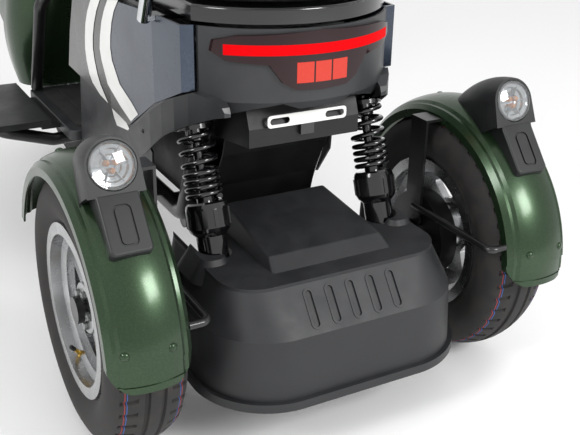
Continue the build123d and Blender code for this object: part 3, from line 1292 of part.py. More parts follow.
COWL_FROM = 985
COWL_TO = 1105
COWL_HALF = 100
COWL_BACK = -50
COWL_FRONT = 76
LAMP_R = 60
with BuildPart() as bar_cowl:
    middle = (COWL_BACK + COWL_FRONT) / 2
    depth = COWL_FRONT - COWL_BACK
    with BuildSketch(STEER.offset(COWL_FROM)):
        with Locations((0, middle)):
            RectangleRounded(2 * COWL_HALF, depth, 40)
    extrude(amount=COWL_TO - COWL_FROM)
    fillet(bar_cowl.edges().filter_by(GeomType.LINE).group_by(Axis.Z)[-1], 18)
    with BuildSketch(STEER.offset(COWL_FROM + PANEL_WALL)):
        with Locations((0, middle)):
            RectangleRounded(2 * (COWL_HALF - PANEL_WALL), depth - 2 * PANEL_WALL, 36)
    extrude(amount=COWL_TO - COWL_FROM - 3 * PANEL_WALL, mode=Mode.SUBTRACT)
    add_tube(BAR_PATH, BAR_R + SEAT_GAP, 40, Mode.SUBTRACT)
    add_steer_column(0, 0, COWL_FROM - 5, COWL_FROM + 20, STEERER_R + 2, Mode.SUBTRACT)
    eye = Plane(origin=on_steer(0, COWL_FRONT, (COWL_FROM + COWL_TO) / 2), x_dir=(1, 0, 0), z_dir=STEER.y_dir)
    with BuildSketch(eye.offset(-20)):
        Circle(LAMP_R - 6)
    extrude(amount=40, mode=Mode.SUBTRACT)
    with BuildSketch(STEER.offset(COWL_TO - 1)):
        with Locations((0, middle)):
            RectangleRounded(120, 80, 16)
    extrude(amount=12)
save(bar_cowl.part, "bar_cowl")

with BuildPart() as headlamp:
    with BuildSketch(eye.offset(-20)):
        Circle(LAMP_R - 6 - SEAT_GAP)
    extrude(amount=20 + SEAT_GAP)
    with BuildSketch(eye.offset(SEAT_GAP)):
        Circle(LAMP_R)
    extrude(amount=26)
    fillet(headlamp.edges().sort_by(Axis.Y)[-1], 10)
save(headlamp.part, "headlamp")
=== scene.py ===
# %% [markdown]
# # An electric tricycle
#
# The construction model gives every part its place and size. This notebook dresses it: it adds the
# finishes, the soft seat and the small moulded shapes, one part at a time.

# %% Load the construction model
import json
import math

import bmesh
import bpy
from mathutils import Matrix, Vector


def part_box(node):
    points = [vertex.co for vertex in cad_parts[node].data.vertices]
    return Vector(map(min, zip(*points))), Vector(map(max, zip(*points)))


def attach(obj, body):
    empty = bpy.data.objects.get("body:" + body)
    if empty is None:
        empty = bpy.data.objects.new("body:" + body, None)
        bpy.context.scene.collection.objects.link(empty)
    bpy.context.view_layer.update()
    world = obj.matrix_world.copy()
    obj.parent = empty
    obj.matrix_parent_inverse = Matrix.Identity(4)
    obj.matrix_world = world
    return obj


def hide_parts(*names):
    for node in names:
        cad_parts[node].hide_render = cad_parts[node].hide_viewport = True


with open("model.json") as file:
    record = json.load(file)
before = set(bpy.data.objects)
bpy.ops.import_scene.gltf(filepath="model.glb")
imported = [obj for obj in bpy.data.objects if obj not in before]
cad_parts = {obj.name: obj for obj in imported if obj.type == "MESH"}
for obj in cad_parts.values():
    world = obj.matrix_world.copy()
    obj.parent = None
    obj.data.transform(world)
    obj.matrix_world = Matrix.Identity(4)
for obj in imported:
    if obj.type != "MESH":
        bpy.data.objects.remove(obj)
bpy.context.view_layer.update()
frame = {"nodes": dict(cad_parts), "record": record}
nodes = frame["nodes"]
TURN = 2 * math.pi


def middle(node):
    """The middle of a construction part's box."""
    low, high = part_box(node)
    return (low + high) / 2


axle = (middle("rear_tyre_left") + middle("rear_tyre_right")) / 2
print("rear axle at", [round(v, 4) for v in axle])


def from_axle(x, y, z):
    """A place given in millimetres to the right, ahead of and above the rear axle."""
    return axle + Vector((x, y, z)) / 1000


# %% [markdown]
# ## The camera
#
# The view is from behind on the left, a little above the seat, as if the viewer stood a long step away.
# A camera matrix is three unit vectors and a place, so it is built from the viewing direction directly.

# %% Camera
VIEW_YAW = math.radians(28.85)
VIEW_PITCH = math.radians(24.06)
VIEW_ROLL = math.radians(-1.13)
CAMERA_FROM_AXLE = (-706, -1271, 732)
LENS_MM = 57.8


def aim_camera():
    look = Vector((
        math.sin(VIEW_YAW) * math.cos(VIEW_PITCH),
        math.cos(VIEW_YAW) * math.cos(VIEW_PITCH),
        -math.sin(VIEW_PITCH),
    ))
    right = Vector((math.cos(VIEW_YAW), -math.sin(VIEW_YAW), 0))
    down = look.cross(right)
    across = math.cos(VIEW_ROLL) * right + math.sin(VIEW_ROLL) * down
    down = -math.sin(VIEW_ROLL) * right + math.cos(VIEW_ROLL) * down
    data = bpy.data.cameras.new("camera")
    data.lens = LENS_MM
    data.sensor_width = 36
    data.clip_start = 0.01
    camera = bpy.data.objects.new("camera", data)
    bpy.context.scene.collection.objects.link(camera)
    turn = Matrix((across, -down, -look)).transposed().to_4x4()
    camera.matrix_world = Matrix.Translation(from_axle(*CAMERA_FROM_AXLE)) @ turn
    bpy.context.scene.camera = camera


aim_camera()

# %% [markdown]
# ## Floor and light
#
# A plain pale floor and a bright surround give paint and lenses something soft to reflect. Two large
# lamps add the long highlights that show how the fenders curve. Colours go straight to the screen, with
# no film curve, so that the white floor stays white and the reds stay red.

# %% Floor and lights
FLOOR_HALF = 12
SURROUND_STRENGTH = 0.85


def lay_floor():
    data = bpy.data.meshes.new("floor")
    shape = bmesh.new()
    bmesh.ops.create_grid(shape, x_segments=1, y_segments=1, size=FLOOR_HALF)
    shape.to_mesh(data)
    shape.free()
    paper = bpy.data.materials.new("white paper")
    paper.use_nodes = True
    paper.node_tree.nodes["Principled BSDF"].inputs["Base Color"].default_value = (0.97, 0.97, 0.97, 1)
    paper.node_tree.nodes["Principled BSDF"].inputs["Roughness"].default_value = 0.9
    data.materials.append(paper)
    floor = bpy.data.objects.new("floor", data)
    bpy.context.scene.collection.objects.link(floor)


lay_floor()
world = bpy.data.worlds.new("studio")
bpy.context.scene.world = world
world.use_nodes = True
world.node_tree.nodes["Background"].inputs["Color"].default_value = (1, 1, 1, 1)
world.node_tree.nodes["Background"].inputs["Strength"].default_value = SURROUND_STRENGTH


def hang_lamp(name, place, size, power):
    data = bpy.data.lights.new(name, "AREA")
    data.size = size
    data.energy = power
    lamp = bpy.data.objects.new(name, data)
    bpy.context.scene.collection.objects.link(lamp)
    lamp.location = from_axle(*place)
    lamp.rotation_euler = (axle - lamp.location).to_track_quat("-Z", "Y").to_euler()


hang_lamp("key", place=(1100, -2500, 1700), size=0.9, power=60)
hang_lamp("shoulder", place=(-2300, -900, 1900), size=0.7, power=30)
bpy.context.scene.view_settings.view_transform = "Standard"

# %% [markdown]
# ## How the finishes are built
#
# Every finish starts from three things: the colour, how rough the surface is, and the grain that is
# moulded, sprayed or worn into it. Colours are written the way a paint shop lists them, as hex codes,
# and turned into the linear numbers that light is worked out with.

# %% Colour and node helpers
def hex_colour(code):
    """The linear colour of an sRGB hex code."""
    parts = [int(code[i:i + 2], 16) / 255 for i in (0, 2, 4)]
    return (*[v / 12.92 if v <= 0.04045 else ((v + 0.055) / 1.055) ** 2.4 for v in parts], 1)


def add_node(material, kind, settings=None, links=None):
    """Adds one node. A setting is a property or a socket's value; a link is (node, its output)."""
    node = material.node_tree.nodes.new("ShaderNode" + kind)
    for key, value in (settings or {}).items():
        if isinstance(key, str) and key in node.bl_rna.properties:
            setattr(node, key, value)
        else:
            node.inputs[key].default_value = value
    for key, (other, output) in (links or {}).items():
        material.node_tree.links.new(other.outputs[output], node.inputs[key])
    return node


def start_finish(name, **sockets):
    """A new material whose shader has the given constants, as (material, shader)."""
    material = bpy.data.materials.new(name)
    material.use_nodes = True
    shader = material.node_tree.nodes["Principled BSDF"]
    for key, value in sockets.items():
        shader.inputs[key.replace("_", " ")].default_value = value
    return material, shader


def wire(material, node, output, shader, socket):
    material.node_tree.links.new(node.outputs[output], shader.inputs[socket])


def per_mm(size_mm):
    """A texture scale whose features are about this many millimetres across."""
    return 1000 / size_mm


# %% [markdown]
# Moulded plastic, rubber and sprayed metal differ mostly in grain size and gloss, so one function makes
# them: a cloudy noise shifts the colour a little as handling and dust do, a finer noise gives the
# moulded grain its relief, and both make the gloss uneven.

# %% Grained finishes
def grained(name, colour, worn, grain_mm, relief_mm, rough, metallic=0.0, coat=0.0, spread=0.08):
    material, shader = start_finish(name, Metallic=metallic, Coat_Weight=coat, Coat_Roughness=0.12)
    place = add_node(material, "TexCoord")
    clouds = add_node(
        material,
        "TexNoise",
        {"Scale": per_mm(60), "Detail": 5.0, "Roughness": 0.6},
        {"Vector": (place, "Object")},
    )
    grain = add_node(
        material, "TexNoise", {"Scale": per_mm(grain_mm), "Detail": 3.0}, {"Vector": (place, "Object")}
    )
    share = add_node(
        material, "MapRange", {"From Min": 0.42, "From Max": 0.72, "To Max": 0.55}, {"Value": (clouds, "Fac")}
    )
    tint = add_node(
        material,
        "Mix",
        {"data_type": "RGBA", 6: hex_colour(colour), 7: hex_colour(worn)},
        {0: (share, "Result")},
    )
    wire(material, tint, 2, shader, "Base Color")
    gloss = add_node(
        material,
        "MapRange",
        {"From Min": 0.3, "From Max": 0.7, "To Min": rough - spread, "To Max": rough + spread},
        {"Value": (clouds, "Fac")},
    )
    wire(material, gloss, "Result", shader, "Roughness")
    relief = add_node(
        material, "Bump", {"Strength": 0.6, "Distance": relief_mm / 1000}, {"Height": (grain, "Fac")}
    )
    wire(material, relief, "Normal", shader, "Normal")
    return material


# Moulded polypropylene with a fine spark-eroded grain: matt charcoal, greyer where it is handled.
cover_plastic = grained("moulded polypropylene", "1d1e20", "2b2c2e", 1.2, 0.12, 0.56)
tail_plastic = grained("satin ABS", "27282a", "343537", 1.0, 0.06, 0.42)
pod_plastic = grained("moulded nylon", "141516", "222324", 0.9, 0.08, 0.44)
# Painted shade: the seat box under the tail is made near black, darker than the other black plastics, to
# stand in for the shade that falls there.
box_plastic_painted_shade = grained("black polyethylene darkened as painted shade", "060607", "0c0c0d", 1.0, 0.06, 0.5)
# Powder coat on steel tube: a thin orange-peel over black.
powder_coat = grained("black powder coat", "101011", "1b1b1c", 2.2, 0.05, 0.34, coat=0.25)
# Enamel dipped over spring wire: nearly wet gloss.
spring_enamel = grained("gloss black enamel", "08080a", "0f0f11", 3.0, 0.02, 0.14, coat=0.8, spread=0.04)
seat_base = grained("polished black ABS", "0a0a0b", "141416", 2.5, 0.02, 0.16, coat=0.7, spread=0.04)
hand_rubber = grained("moulded rubber", "131313", "202020", 1.0, 0.12, 0.7)
mat_rubber = grained("ribbed mat rubber", "171717", "2c2b29", 1.4, 0.14, 0.78)
bright_white = grained("white gloss enamel", "e9e9e6", "d6d6d2", 3.0, 0.02, 0.22, coat=0.5, spread=0.05)
# Cast aluminium straight from the mould: a coarse, dull grain.
cast_metal = grained("cast aluminium", "8a8c8e", "6f7173", 1.2, 0.14, 0.46, metallic=1.0)
battery_case = grained("battery case polypropylene", "202124", "2c2d30", 1.1, 0.08, 0.5)

# %% [markdown]
# ## The painted fenders
#
# The fenders and the leg shield are pressed steel under a satin metallic green. Fine aluminium flakes in
# the paint catch the light, a clear coat softens the highlight, and the sprayed surface keeps a faint
# orange peel. Real flakes are too fine to show at this distance, so these are drawn coarser, at 0.8 mm.

# %% Metallic paint
def metallic_paint(name, colour, flake, shade, rough, coat, metallic):
    material, shader = start_finish(name, Metallic=metallic, Coat_Weight=coat, Coat_Roughness=0.16)
    place = add_node(material, "TexCoord")
    flakes = add_node(material, "TexVoronoi", {"Scale": per_mm(0.8)}, {"Vector": (place, "Object")})
    peel = add_node(material, "TexNoise", {"Scale": per_mm(4), "Detail": 2.0}, {"Vector": (place, "Object")})
    clouds = add_node(
        material, "TexNoise", {"Scale": per_mm(110), "Detail": 4.0}, {"Vector": (place, "Object")}
    )
    base = add_node(
        material,
        "Mix",
        {"data_type": "RGBA", 6: hex_colour(colour), 7: hex_colour(shade)},
        {0: (clouds, "Fac")},
    )
    glint = add_node(
        material,
        "MapRange",
        {"From Min": 0.55, "From Max": 0.95, "To Max": 0.22},
        {"Value": (flakes, "Color")},
    )
    tint = add_node(
        material, "Mix", {"data_type": "RGBA", 7: hex_colour(flake)}, {0: (glint, "Result"), 6: (base, 2)}
    )
    wire(material, tint, 2, shader, "Base Color")
    gloss = add_node(
        material,
        "MapRange",
        {"From Min": 0.3, "From Max": 0.7, "To Min": rough - 0.05, "To Max": rough + 0.05},
        {"Value": (clouds, "Fac")},
    )
    wire(material, gloss, "Result", shader, "Roughness")
    relief = add_node(material, "Bump", {"Strength": 0.25, "Distance": 0.00005}, {"Height": (peel, "Fac")})
    wire(material, relief, "Normal", shader, "Normal")
    return material, tint, shader


green_paint, _, _ = metallic_paint("satin green metallic paint", "2c4228", "5d7554", "1f3320", 0.3, 0.4, 0.72)

# %% [markdown]
# ## The side panels
#
# Each side panel is one moulding painted in three fields: blue-grey behind, a dark olive gap between the
# two white stripes, and a dark grey field ahead of them. The stripes themselves are separate films that
# cover the joins, so the paint only has to change colour under them. Each join is a curve that gives the
# distance ahead of the axle for a height above it, y = a z² + b z + c, in millimetres.

# %% Panel paint
FRONT_JOIN = (-0.008045, 5.002, -324.6)
REAR_JOIN = (-0.01003, 6.594, -725.8)


def add_join(material, apart, join):
    """1 ahead of the join and 0 behind it."""
    slope = add_node(
        material, "Math", {"operation": "MULTIPLY_ADD", 1: join[0], 2: join[1]}, {0: (apart, "Z")}
    )
    curve = add_node(
        material, "Math", {"operation": "MULTIPLY_ADD", 2: join[2]}, {0: (slope, "Value"), 1: (apart, "Z")}
    )
    return add_node(material, "Math", {"operation": "GREATER_THAN"}, {0: (apart, "Y"), 1: (curve, "Value")})


def panel_paint():
    material, tint, shader = metallic_paint(
        "blue-grey metallic paint", "3a4454", "7a8798", "2c3442", 0.28, 0.5, 0.75
    )
    place = add_node(material, "TexCoord")
    from_wheel = add_node(
        material, "Mapping",
        {"vector_type": "TEXTURE", "Location": axle, "Scale": (0.001, 0.001, 0.001)},
        {"Vector": (place, "Object")},
    )
    apart = add_node(material, "SeparateXYZ", {}, {"Vector": (from_wheel, "Vector")})
    gap = add_node(
        material, "Mix", {"data_type": "RGBA", 7: hex_colour("2a2c26")},
        {0: (add_join(material, apart, REAR_JOIN), "Value"), 6: (tint, 2)},
    )
    ahead = add_node(
        material, "Mix", {"data_type": "RGBA", 7: hex_colour("3b3a38")},
        {0: (add_join(material, apart, FRONT_JOIN), "Value"), 6: (gap, 2)},
    )
    wire(material, ahead, 2, shader, "Base Color")
    return material


side_paint = panel_paint()

# %% [markdown]
# ## The plate strip
#
# The strip that carries a number plate is painted white above its lower edge, as a painted reflection of a
# bright lamp on a black plate. The stand below it, which joins it to the tail, is black, so this paint
# changes colour at the strip's lower edge.

# %% Plate strip paint
STRIP_LOW = 265


def reflection_strip_paint():
    """A painted white reflection above the strip's lower edge, and black below it."""
    material, shader = start_finish("painted white reflection over black", Roughness=0.24, Coat_Weight=0.5)
    apart = add_node(material, "SeparateXYZ", {}, {"Vector": (add_node(material, "TexCoord"), "Object")})
    strip = add_node(
        material, "Math", {"operation": "GREATER_THAN", 1: from_axle(0, 0, STRIP_LOW).z}, {0: (apart, "Z")}
    )
    # Painted reflection: the white above the edge stands in for a bright lamp reflected in a black plate.
    tint = add_node(
        material,
        "Mix",
        {"data_type": "RGBA", 6: hex_colour("0b0b0c"), 7: hex_colour("e9e9e6")},
        {0: (strip, "Value")},
    )
    wire(material, tint, 2, shader, "Base Color")
    return material


strip_with_painted_reflection = reflection_strip_paint()

# %% [markdown]
# ## Bright metal
#
# The wheels are cast, then turned on a lathe, so their faces carry fine rings round the spindle. Rings
# are distances from the wheel's middle, so the coordinates are centred on the axle and only their
# height and depth are kept. The rails are chromed, with faint streaks where they have been wiped.

# %% Bright metal
def turned_alloy(name, centre, colour="c9cacb", rough=0.26):
    material, shader = start_finish(name, Metallic=1.0)
    place = add_node(material, "TexCoord")
    hub = add_node(
        material, "Mapping", {"vector_type": "TEXTURE", "Location": centre}, {"Vector": (place, "Object")}
    )
    rings = add_node(
        material, "TexWave",
        {"wave_type": "RINGS", "rings_direction": "X", "Scale": per_mm(3) * TURN / 20, "Distortion": 0.4},
        {"Vector": (hub, "Vector")},
    )
    smudge = add_node(
        material, "TexNoise", {"Scale": per_mm(35), "Detail": 5.0}, {"Vector": (place, "Object")}
    )
    tint = add_node(
        material,
        "Mix",
        {"data_type": "RGBA", 6: hex_colour(colour), 7: hex_colour("9a9b9c")},
        {0: (smudge, "Fac")},
    )
    wire(material, tint, 2, shader, "Base Color")
    gloss = add_node(
        material, "MapRange", {"To Min": rough - 0.08, "To Max": rough + 0.1}, {"Value": (smudge, "Fac")}
    )
    wire(material, gloss, "Result", shader, "Roughness")
    relief = add_node(material, "Bump", {"Strength": 0.2, "Distance": 0.0001}, {"Height": (rings, "Fac")})
    wire(material, relief, "Normal", shader, "Normal")
    return material


rear_alloy = turned_alloy("turned aluminium, rear wheels", axle)
front_alloy = turned_alloy("turned aluminium, front wheel", middle("front_tyre"))
chrome = grained("chrome plate", "d2d4d6", "b4b6b8", 9, 0.01, 0.09, metallic=1.0, spread=0.05)
zinc = grained("zinc-plated steel", "a9abab", "8c8d8a", 2.0, 0.04, 0.3, metallic=1.0)
brass = grained("brass", "b08d3c", "8a6c2a", 1.5, 0.03, 0.28, metallic=1.0)
mirror_glass = grained("silvered glass", "dfe2e4", "d4d8da", 60, 0.001, 0.05, metallic=1.0, spread=0.02)

# %% [markdown]
# ## Tyre rubber
#
# Tyre rubber is matt and slightly brown with road dust on the crest, and the makers print two thin
# lines, red and blue, round the shoulder. Both lines lie at a fixed distance from the tyre's own middle
# plane, so the pattern measures across the wheel.

# %% Tyre rubber
LINE_HALF_MM = 0.6


def tyre_rubber(name, centre, lines):
    material, shader = start_finish(name)
    place = add_node(material, "TexCoord")
    wheel = add_node(
        material, "Mapping",
        {"vector_type": "TEXTURE", "Location": centre, "Scale": (0.001, 0.001, 0.001)},
        {"Vector": (place, "Object")},
    )
    apart = add_node(material, "SeparateXYZ", {}, {"Vector": (wheel, "Vector")})
    dust = add_node(material, "TexNoise", {"Scale": per_mm(25), "Detail": 6.0}, {"Vector": (place, "Object")})
    share = add_node(
        material, "MapRange", {"From Min": 0.4, "From Max": 0.7, "To Max": 0.5}, {"Value": (dust, "Fac")}
    )
    last = add_node(
        material,
        "Mix",
        {"data_type": "RGBA", 6: hex_colour("1c1b1b"), 7: hex_colour("38332f")},
        {0: (share, "Result")},
    )
    for across, code in lines:
        band = add_node(
            material, "Math", {"operation": "COMPARE", 1: across, 2: LINE_HALF_MM}, {0: (apart, "X")}
        )
        last = add_node(
            material, "Mix", {"data_type": "RGBA", 7: hex_colour(code)}, {0: (band, "Value"), 6: (last, 2)}
        )
    wire(material, last, 2, shader, "Base Color")
    gloss = add_node(material, "MapRange", {"To Min": 0.62, "To Max": 0.88}, {"Value": (dust, "Fac")})
    wire(material, gloss, "Result", shader, "Roughness")
    grain = add_node(
        material, "TexNoise", {"Scale": per_mm(1.5), "Detail": 3.0}, {"Vector": (place, "Object")}
    )
    relief = add_node(material, "Bump", {"Strength": 0.5, "Distance": 0.00012}, {"Height": (grain, "Fac")})
    wire(material, relief, "Normal", shader, "Normal")
    return material


# %% [markdown]
# ## Vinyl for the seat
#
# Seat vinyl is embossed with a leather grain: rounded pebbles separated by fine valleys. Distance to the
# edge of a Voronoi cell gives exactly that. Real pebbles are about 1.8 mm across; these are drawn at
# 2.2 mm so that they can be seen.

# %% Seat vinyl
def seat_vinyl():
    material, shader = start_finish("embossed vinyl", Coat_Weight=0.08, Coat_Roughness=0.35)
    place = add_node(material, "TexCoord")
    pebbles = add_node(
        material,
        "TexVoronoi",
        {"feature": "DISTANCE_TO_EDGE", "Scale": per_mm(2.2)},
        {"Vector": (place, "Object")},
    )
    rise = add_node(material, "MapRange", {"From Max": 0.28}, {"Value": (pebbles, "Distance")})
    handled = add_node(
        material, "TexNoise", {"Scale": per_mm(90), "Detail": 5.0}, {"Vector": (place, "Object")}
    )
    tint = add_node(
        material,
        "Mix",
        {"data_type": "RGBA", 6: hex_colour("131314"), 7: hex_colour("212122")},
        {0: (handled, "Fac")},
    )
    wire(material, tint, 2, shader, "Base Color")
    gloss = add_node(material, "MapRange", {"To Min": 0.34, "To Max": 0.56}, {"Value": (handled, "Fac")})
    wire(material, gloss, "Result", shader, "Roughness")
    relief = add_node(material, "Bump", {"Strength": 0.55, "Distance": 0.0003}, {"Height": (rise, "Result")})
    wire(material, relief, "Normal", shader, "Normal")
    return material


vinyl = seat_vinyl()

# %% [markdown]
# ## Lenses
#
# Lamp lenses are moulded in clear or tinted polycarbonate, polished to full gloss. The tail lens is dark
# red because there is a dark housing behind it; only the light guide inside it is bright.

# %% Lens plastics
def lens(name, colour, rough, clear=0.0, coat=0.25, ribs_mm=6, shine=0.5):
    material, shader = start_finish(
        name, Transmission_Weight=clear, Coat_Weight=coat, Coat_Roughness=0.04, Specular_IOR_Level=shine
    )
    place = add_node(material, "TexCoord")
    ripple = add_node(
        material, "TexNoise", {"Scale": per_mm(ribs_mm), "Detail": 1.0}, {"Vector": (place, "Object")}
    )
    tint = add_node(material, "MapRange", {"To Min": 0.82, "To Max": 1.0}, {"Value": (ripple, "Fac")})
    shade = add_node(
        material,
        "Mix",
        {"data_type": "RGBA", "blend_type": "MULTIPLY", 0: 1.0, 6: hex_colour(colour)},
        {7: (tint, "Result")},
    )
    wire(material, shade, 2, shader, "Base Color")
    gloss = add_node(
        material, "MapRange", {"To Min": rough, "To Max": rough + 0.05}, {"Value": (ripple, "Fac")}
    )
    wire(material, gloss, "Result", shader, "Roughness")
    return material


dark_red_lens = lens("dark red polycarbonate", "22050a", 0.06, coat=0.0, shine=0.35)
light_guide = lens("red light guide", "dc0008", 0.6, coat=0.0, shine=0.06)
red_cell = lens("orange-red cell", "c83a2c", 0.3, coat=0.0, ribs_mm=2, shine=0.3)
clear_lens = lens("clear polycarbonate", "f4f6f7", 0.03, clear=0.9)
amber_bulb = lens("amber glass", "e0861a", 0.15)

# %% [markdown]
# ## Dressing the construction parts
#
# The record already says which finish each part has, so the parts are dressed slot by slot, and the few
# that differ from their slot are named afterwards.

# %% Dress the construction parts
SLOT_FINISH = {
    "black_steel": powder_coat, "cast": cast_metal, "battery": battery_case,
    "dark_plastic": cover_plastic, "black_gloss": spring_enamel, "green_paint": green_paint,
    "blue_grey_paint": side_paint, "rubber": hand_rubber, "tyre": hand_rubber, "alloy": rear_alloy,
    "chrome": chrome, "red_lens": dark_red_lens, "clear_lens": clear_lens, "mirror": pod_plastic,
    "vinyl": vinyl, "white_steel": bright_white,
}
NODE_FINISH = {
    "tail_panel": tail_plastic, "lamp_pods": pod_plastic, "levers": pod_plastic,
    # The seat box's near black is painted shade.
    "seat_box": box_plastic_painted_shade, "under_panels": tail_plastic, "floor_board": tail_plastic,
    "side_steps": pod_plastic, "seat_pan": seat_base, "floor_mat": mat_rubber,
    # The plate strip's white is a painted reflection.
    "plate_bracket": strip_with_painted_reflection, "front_rim": front_alloy, "front_axle": zinc,
}


def dress(piece, material):
    piece.data.materials.clear()
    piece.data.materials.append(material)


for entry in frame["record"]["subparts"]:
    node = entry["node"]
    dress(nodes[node], NODE_FINISH.get(node, SLOT_FINISH[entry["material_slot"]]))
print(len(nodes), "construction parts dressed")

# %% [markdown]
# ## Adding a piece
#
# Each new piece is built in a bmesh and becomes an object that stays at the origin, with its place in
# its mesh. Doubles are merged first and the normals made to point outwards, then the piece is told which
# body carries it, so that it moves with the joints.

# %% Piece helpers
SHARP_ANGLE = math.radians(38)
MERGE_DIST = 0.00002
SPIN_MERGE_DIST = 0.00001


def add_piece(name, shape, body, material, replaces=(), smooth=True):
    bmesh.ops.remove_doubles(shape, verts=shape.verts, dist=MERGE_DIST)
    bmesh.ops.recalc_face_normals(shape, faces=shape.faces)
    for face in shape.faces:
        face.smooth = smooth
    data = bpy.data.meshes.new(name)
    shape.to_mesh(data)
    shape.free()
    if smooth:
        data.set_sharp_from_angle(angle=SHARP_ANGLE)
    piece = bpy.data.objects.new(name, data)
    bpy.context.scene.collection.objects.link(piece)
    dress(piece, material)
    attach(piece, body)
    if replaces:
        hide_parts(*replaces)


def facing(place, out, up=Vector((0, 0, 1))):
    """A matrix whose Z runs out of a surface at a place."""
    out = out.normalized()
    right = up.cross(out).normalized() if abs(up.dot(out)) < 0.99 else Vector((1, 0, 0))
    return Matrix.Translation(place) @ Matrix((right, out.cross(right), out)).transposed().to_4x4()


def turned(profile, steps=32):
    """A new bmesh of a profile of (radius, height) in millimetres, spun round Z."""
    tool = bmesh.new()
    verts = [tool.verts.new((r / 1000, 0, h / 1000)) for r, h in profile]
    edges = [tool.edges.new(pair) for pair in zip(verts, verts[1:])]
    bmesh.ops.spin(
        tool, geom=verts + edges, cent=(0, 0, 0), axis=(0, 0, 1), angle=TURN, steps=steps, use_merge=True
    )
    bmesh.ops.remove_doubles(tool, verts=tool.verts, dist=SPIN_MERGE_DIST)
    return tool


def stamp(shape, tool, where):
    """Copies a small tool shape into a piece's bmesh, placed by a matrix."""
    data = bpy.data.meshes.new("stamp")
    tool.to_mesh(data)
    data.transform(where)
    shape.from_mesh(data)
    bpy.data.meshes.remove(data)


# %% [markdown]
# ## Tyres
#
# The construction tyre is a smooth ring. The real one has a tread: two grooves round the crest and
# slanted slots over each shoulder. The profile is spun round the axle, the chosen faces are inset and
# sunk, and turning each point a little more the further it is from the middle slants the slots.

# %% Tyres
TREAD_BANDS = 12
TREAD_STEPS = 144
RING_GROOVES = (4, 7)
SLOT_BANDS = (0, 1, 2, 9, 10, 11)
SLOT_EVERY = 3
SLANT = 0.10
SLANT_FROM_R = 161
SIDE_CLEAR = 0.2
# Shares of the tyre's half width.
SHOULDER_OUT, SHOULDER_DROP, SLOT_DROP = 0.8, 0.24, 0.26
RING_LIP, RING_DEPTH = 0.0022, 0.0038
SLOT_LIP, SLOT_DEPTH = 0.0018, 0.0034
WALL_STEPS = 7
LIP_R = 141
BEAD_R = 127.3
REAR_RIM_WIDTH = 109
FRONT_RIM_WIDTH = 86
BEAD_INSET = 5.3


def through(low, mid, high, share):
    """A point on the smooth curve through three points."""
    a = (1 - share) * (1 - 2 * share)
    b = 4 * share * (1 - share)
    c = share * (2 * share - 1)
    return tuple(a * p + b * q + c * r for p, q, r in zip(low, mid, high))


def tyre_profile(radius, half, bead_half):
    shoulder = (SHOULDER_OUT * half, radius - SHOULDER_DROP * half)
    other = (-shoulder[0], shoulder[1])
    belly_r = BEAD_R + 0.5 * (radius - BEAD_R)
    crown = [through(other, (0, radius), shoulder, i / TREAD_BANDS) for i in range(TREAD_BANDS + 1)]
    wall = [
        through(shoulder, (half, belly_r), (bead_half, LIP_R), i / WALL_STEPS)
        for i in range(1, WALL_STEPS + 1)
    ]
    back = [(-x, r) for x, r in reversed(wall)]
    return back + crown + wall + [(bead_half, BEAD_R), (-bead_half, BEAD_R)], len(back)


def cut_tyre(name, node, body, rim_width, lines):
    low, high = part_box(node)
    centre = (low + high) / 2
    radius = (high.z - low.z) * 500
    half = (high.x - low.x) * 500
    profile, first = tyre_profile(radius, half - SIDE_CLEAR, rim_width / 2 - BEAD_INSET)
    shape = bmesh.new()
    verts = [shape.verts.new((x / 1000, 0, r / 1000)) for x, r in profile]
    edges = [shape.edges.new(pair) for pair in zip(verts, verts[1:] + verts[:1])]
    bmesh.ops.spin(
        shape,
        geom=verts + edges,
        cent=(0, 0, 0),
        axis=(1, 0, 0),
        angle=TURN,
        steps=TREAD_STEPS,
        use_merge=True,
    )
    bmesh.ops.remove_doubles(shape, verts=shape.verts, dist=SPIN_MERGE_DIST)
    bmesh.ops.recalc_face_normals(shape, faces=shape.faces)
    band_x = [profile[first + i][0] / 1000 for i in range(TREAD_BANDS + 1)]
    rings, slots = [], []
    for face in shape.faces:
        place = face.calc_center_median()
        if math.hypot(place.y, place.z) * 1000 < radius - SLOT_DROP * half:
            continue
        band = next((i for i in range(TREAD_BANDS) if band_x[i] < place.x < band_x[i + 1]), None)
        step = int(math.atan2(place.z, place.y) / TURN * TREAD_STEPS + TREAD_STEPS)
        if band in RING_GROOVES:
            rings.append(face)
        elif band in SLOT_BANDS and (step + (band >= TREAD_BANDS // 2)) % SLOT_EVERY == 0:
            slots.append(face)
    bmesh.ops.inset_region(shape, faces=rings, thickness=RING_LIP, depth=-RING_DEPTH, use_even_offset=True)
    bmesh.ops.inset_region(shape, faces=slots, thickness=SLOT_LIP, depth=-SLOT_DEPTH, use_even_offset=True)
    for vert in shape.verts:
        if vert.co.yz.length * 1000 > SLANT_FROM_R:
            turn = Matrix.Rotation(SLANT * abs(vert.co.x) * 1000 / half, 3, "X")
            vert.co = turn @ vert.co
    bmesh.ops.translate(shape, vec=centre, verts=shape.verts)
    rubber = tyre_rubber(name + " rubber", centre, lines)
    add_piece(name, shape, body, rubber, replaces=(node,))
    print(name, "radius", round(radius), "slots", len(slots))


SHOULDER_LINES = ((-43.5, "8c2a34"), (-40.5, "30508e"), (40.5, "30508e"), (43.5, "8c2a34"))
cut_tyre("treaded_rear_tyre_left", "rear_tyre_left", "rear_wheel_left", REAR_RIM_WIDTH, SHOULDER_LINES)
cut_tyre("treaded_rear_tyre_right", "rear_tyre_right", "rear_wheel_right", REAR_RIM_WIDTH, SHOULDER_LINES)
cut_tyre("treaded_front_tyre", "front_tyre", "front_wheel", FRONT_RIM_WIDTH, ())

# %% [markdown]
# ## Small turned fasteners
#
# Screws, rivets and bolt heads are all turned shapes: a short profile spun round its own axis. A hexagon head
# is the same spin in six steps. One profile is stamped wherever that fastener is used.

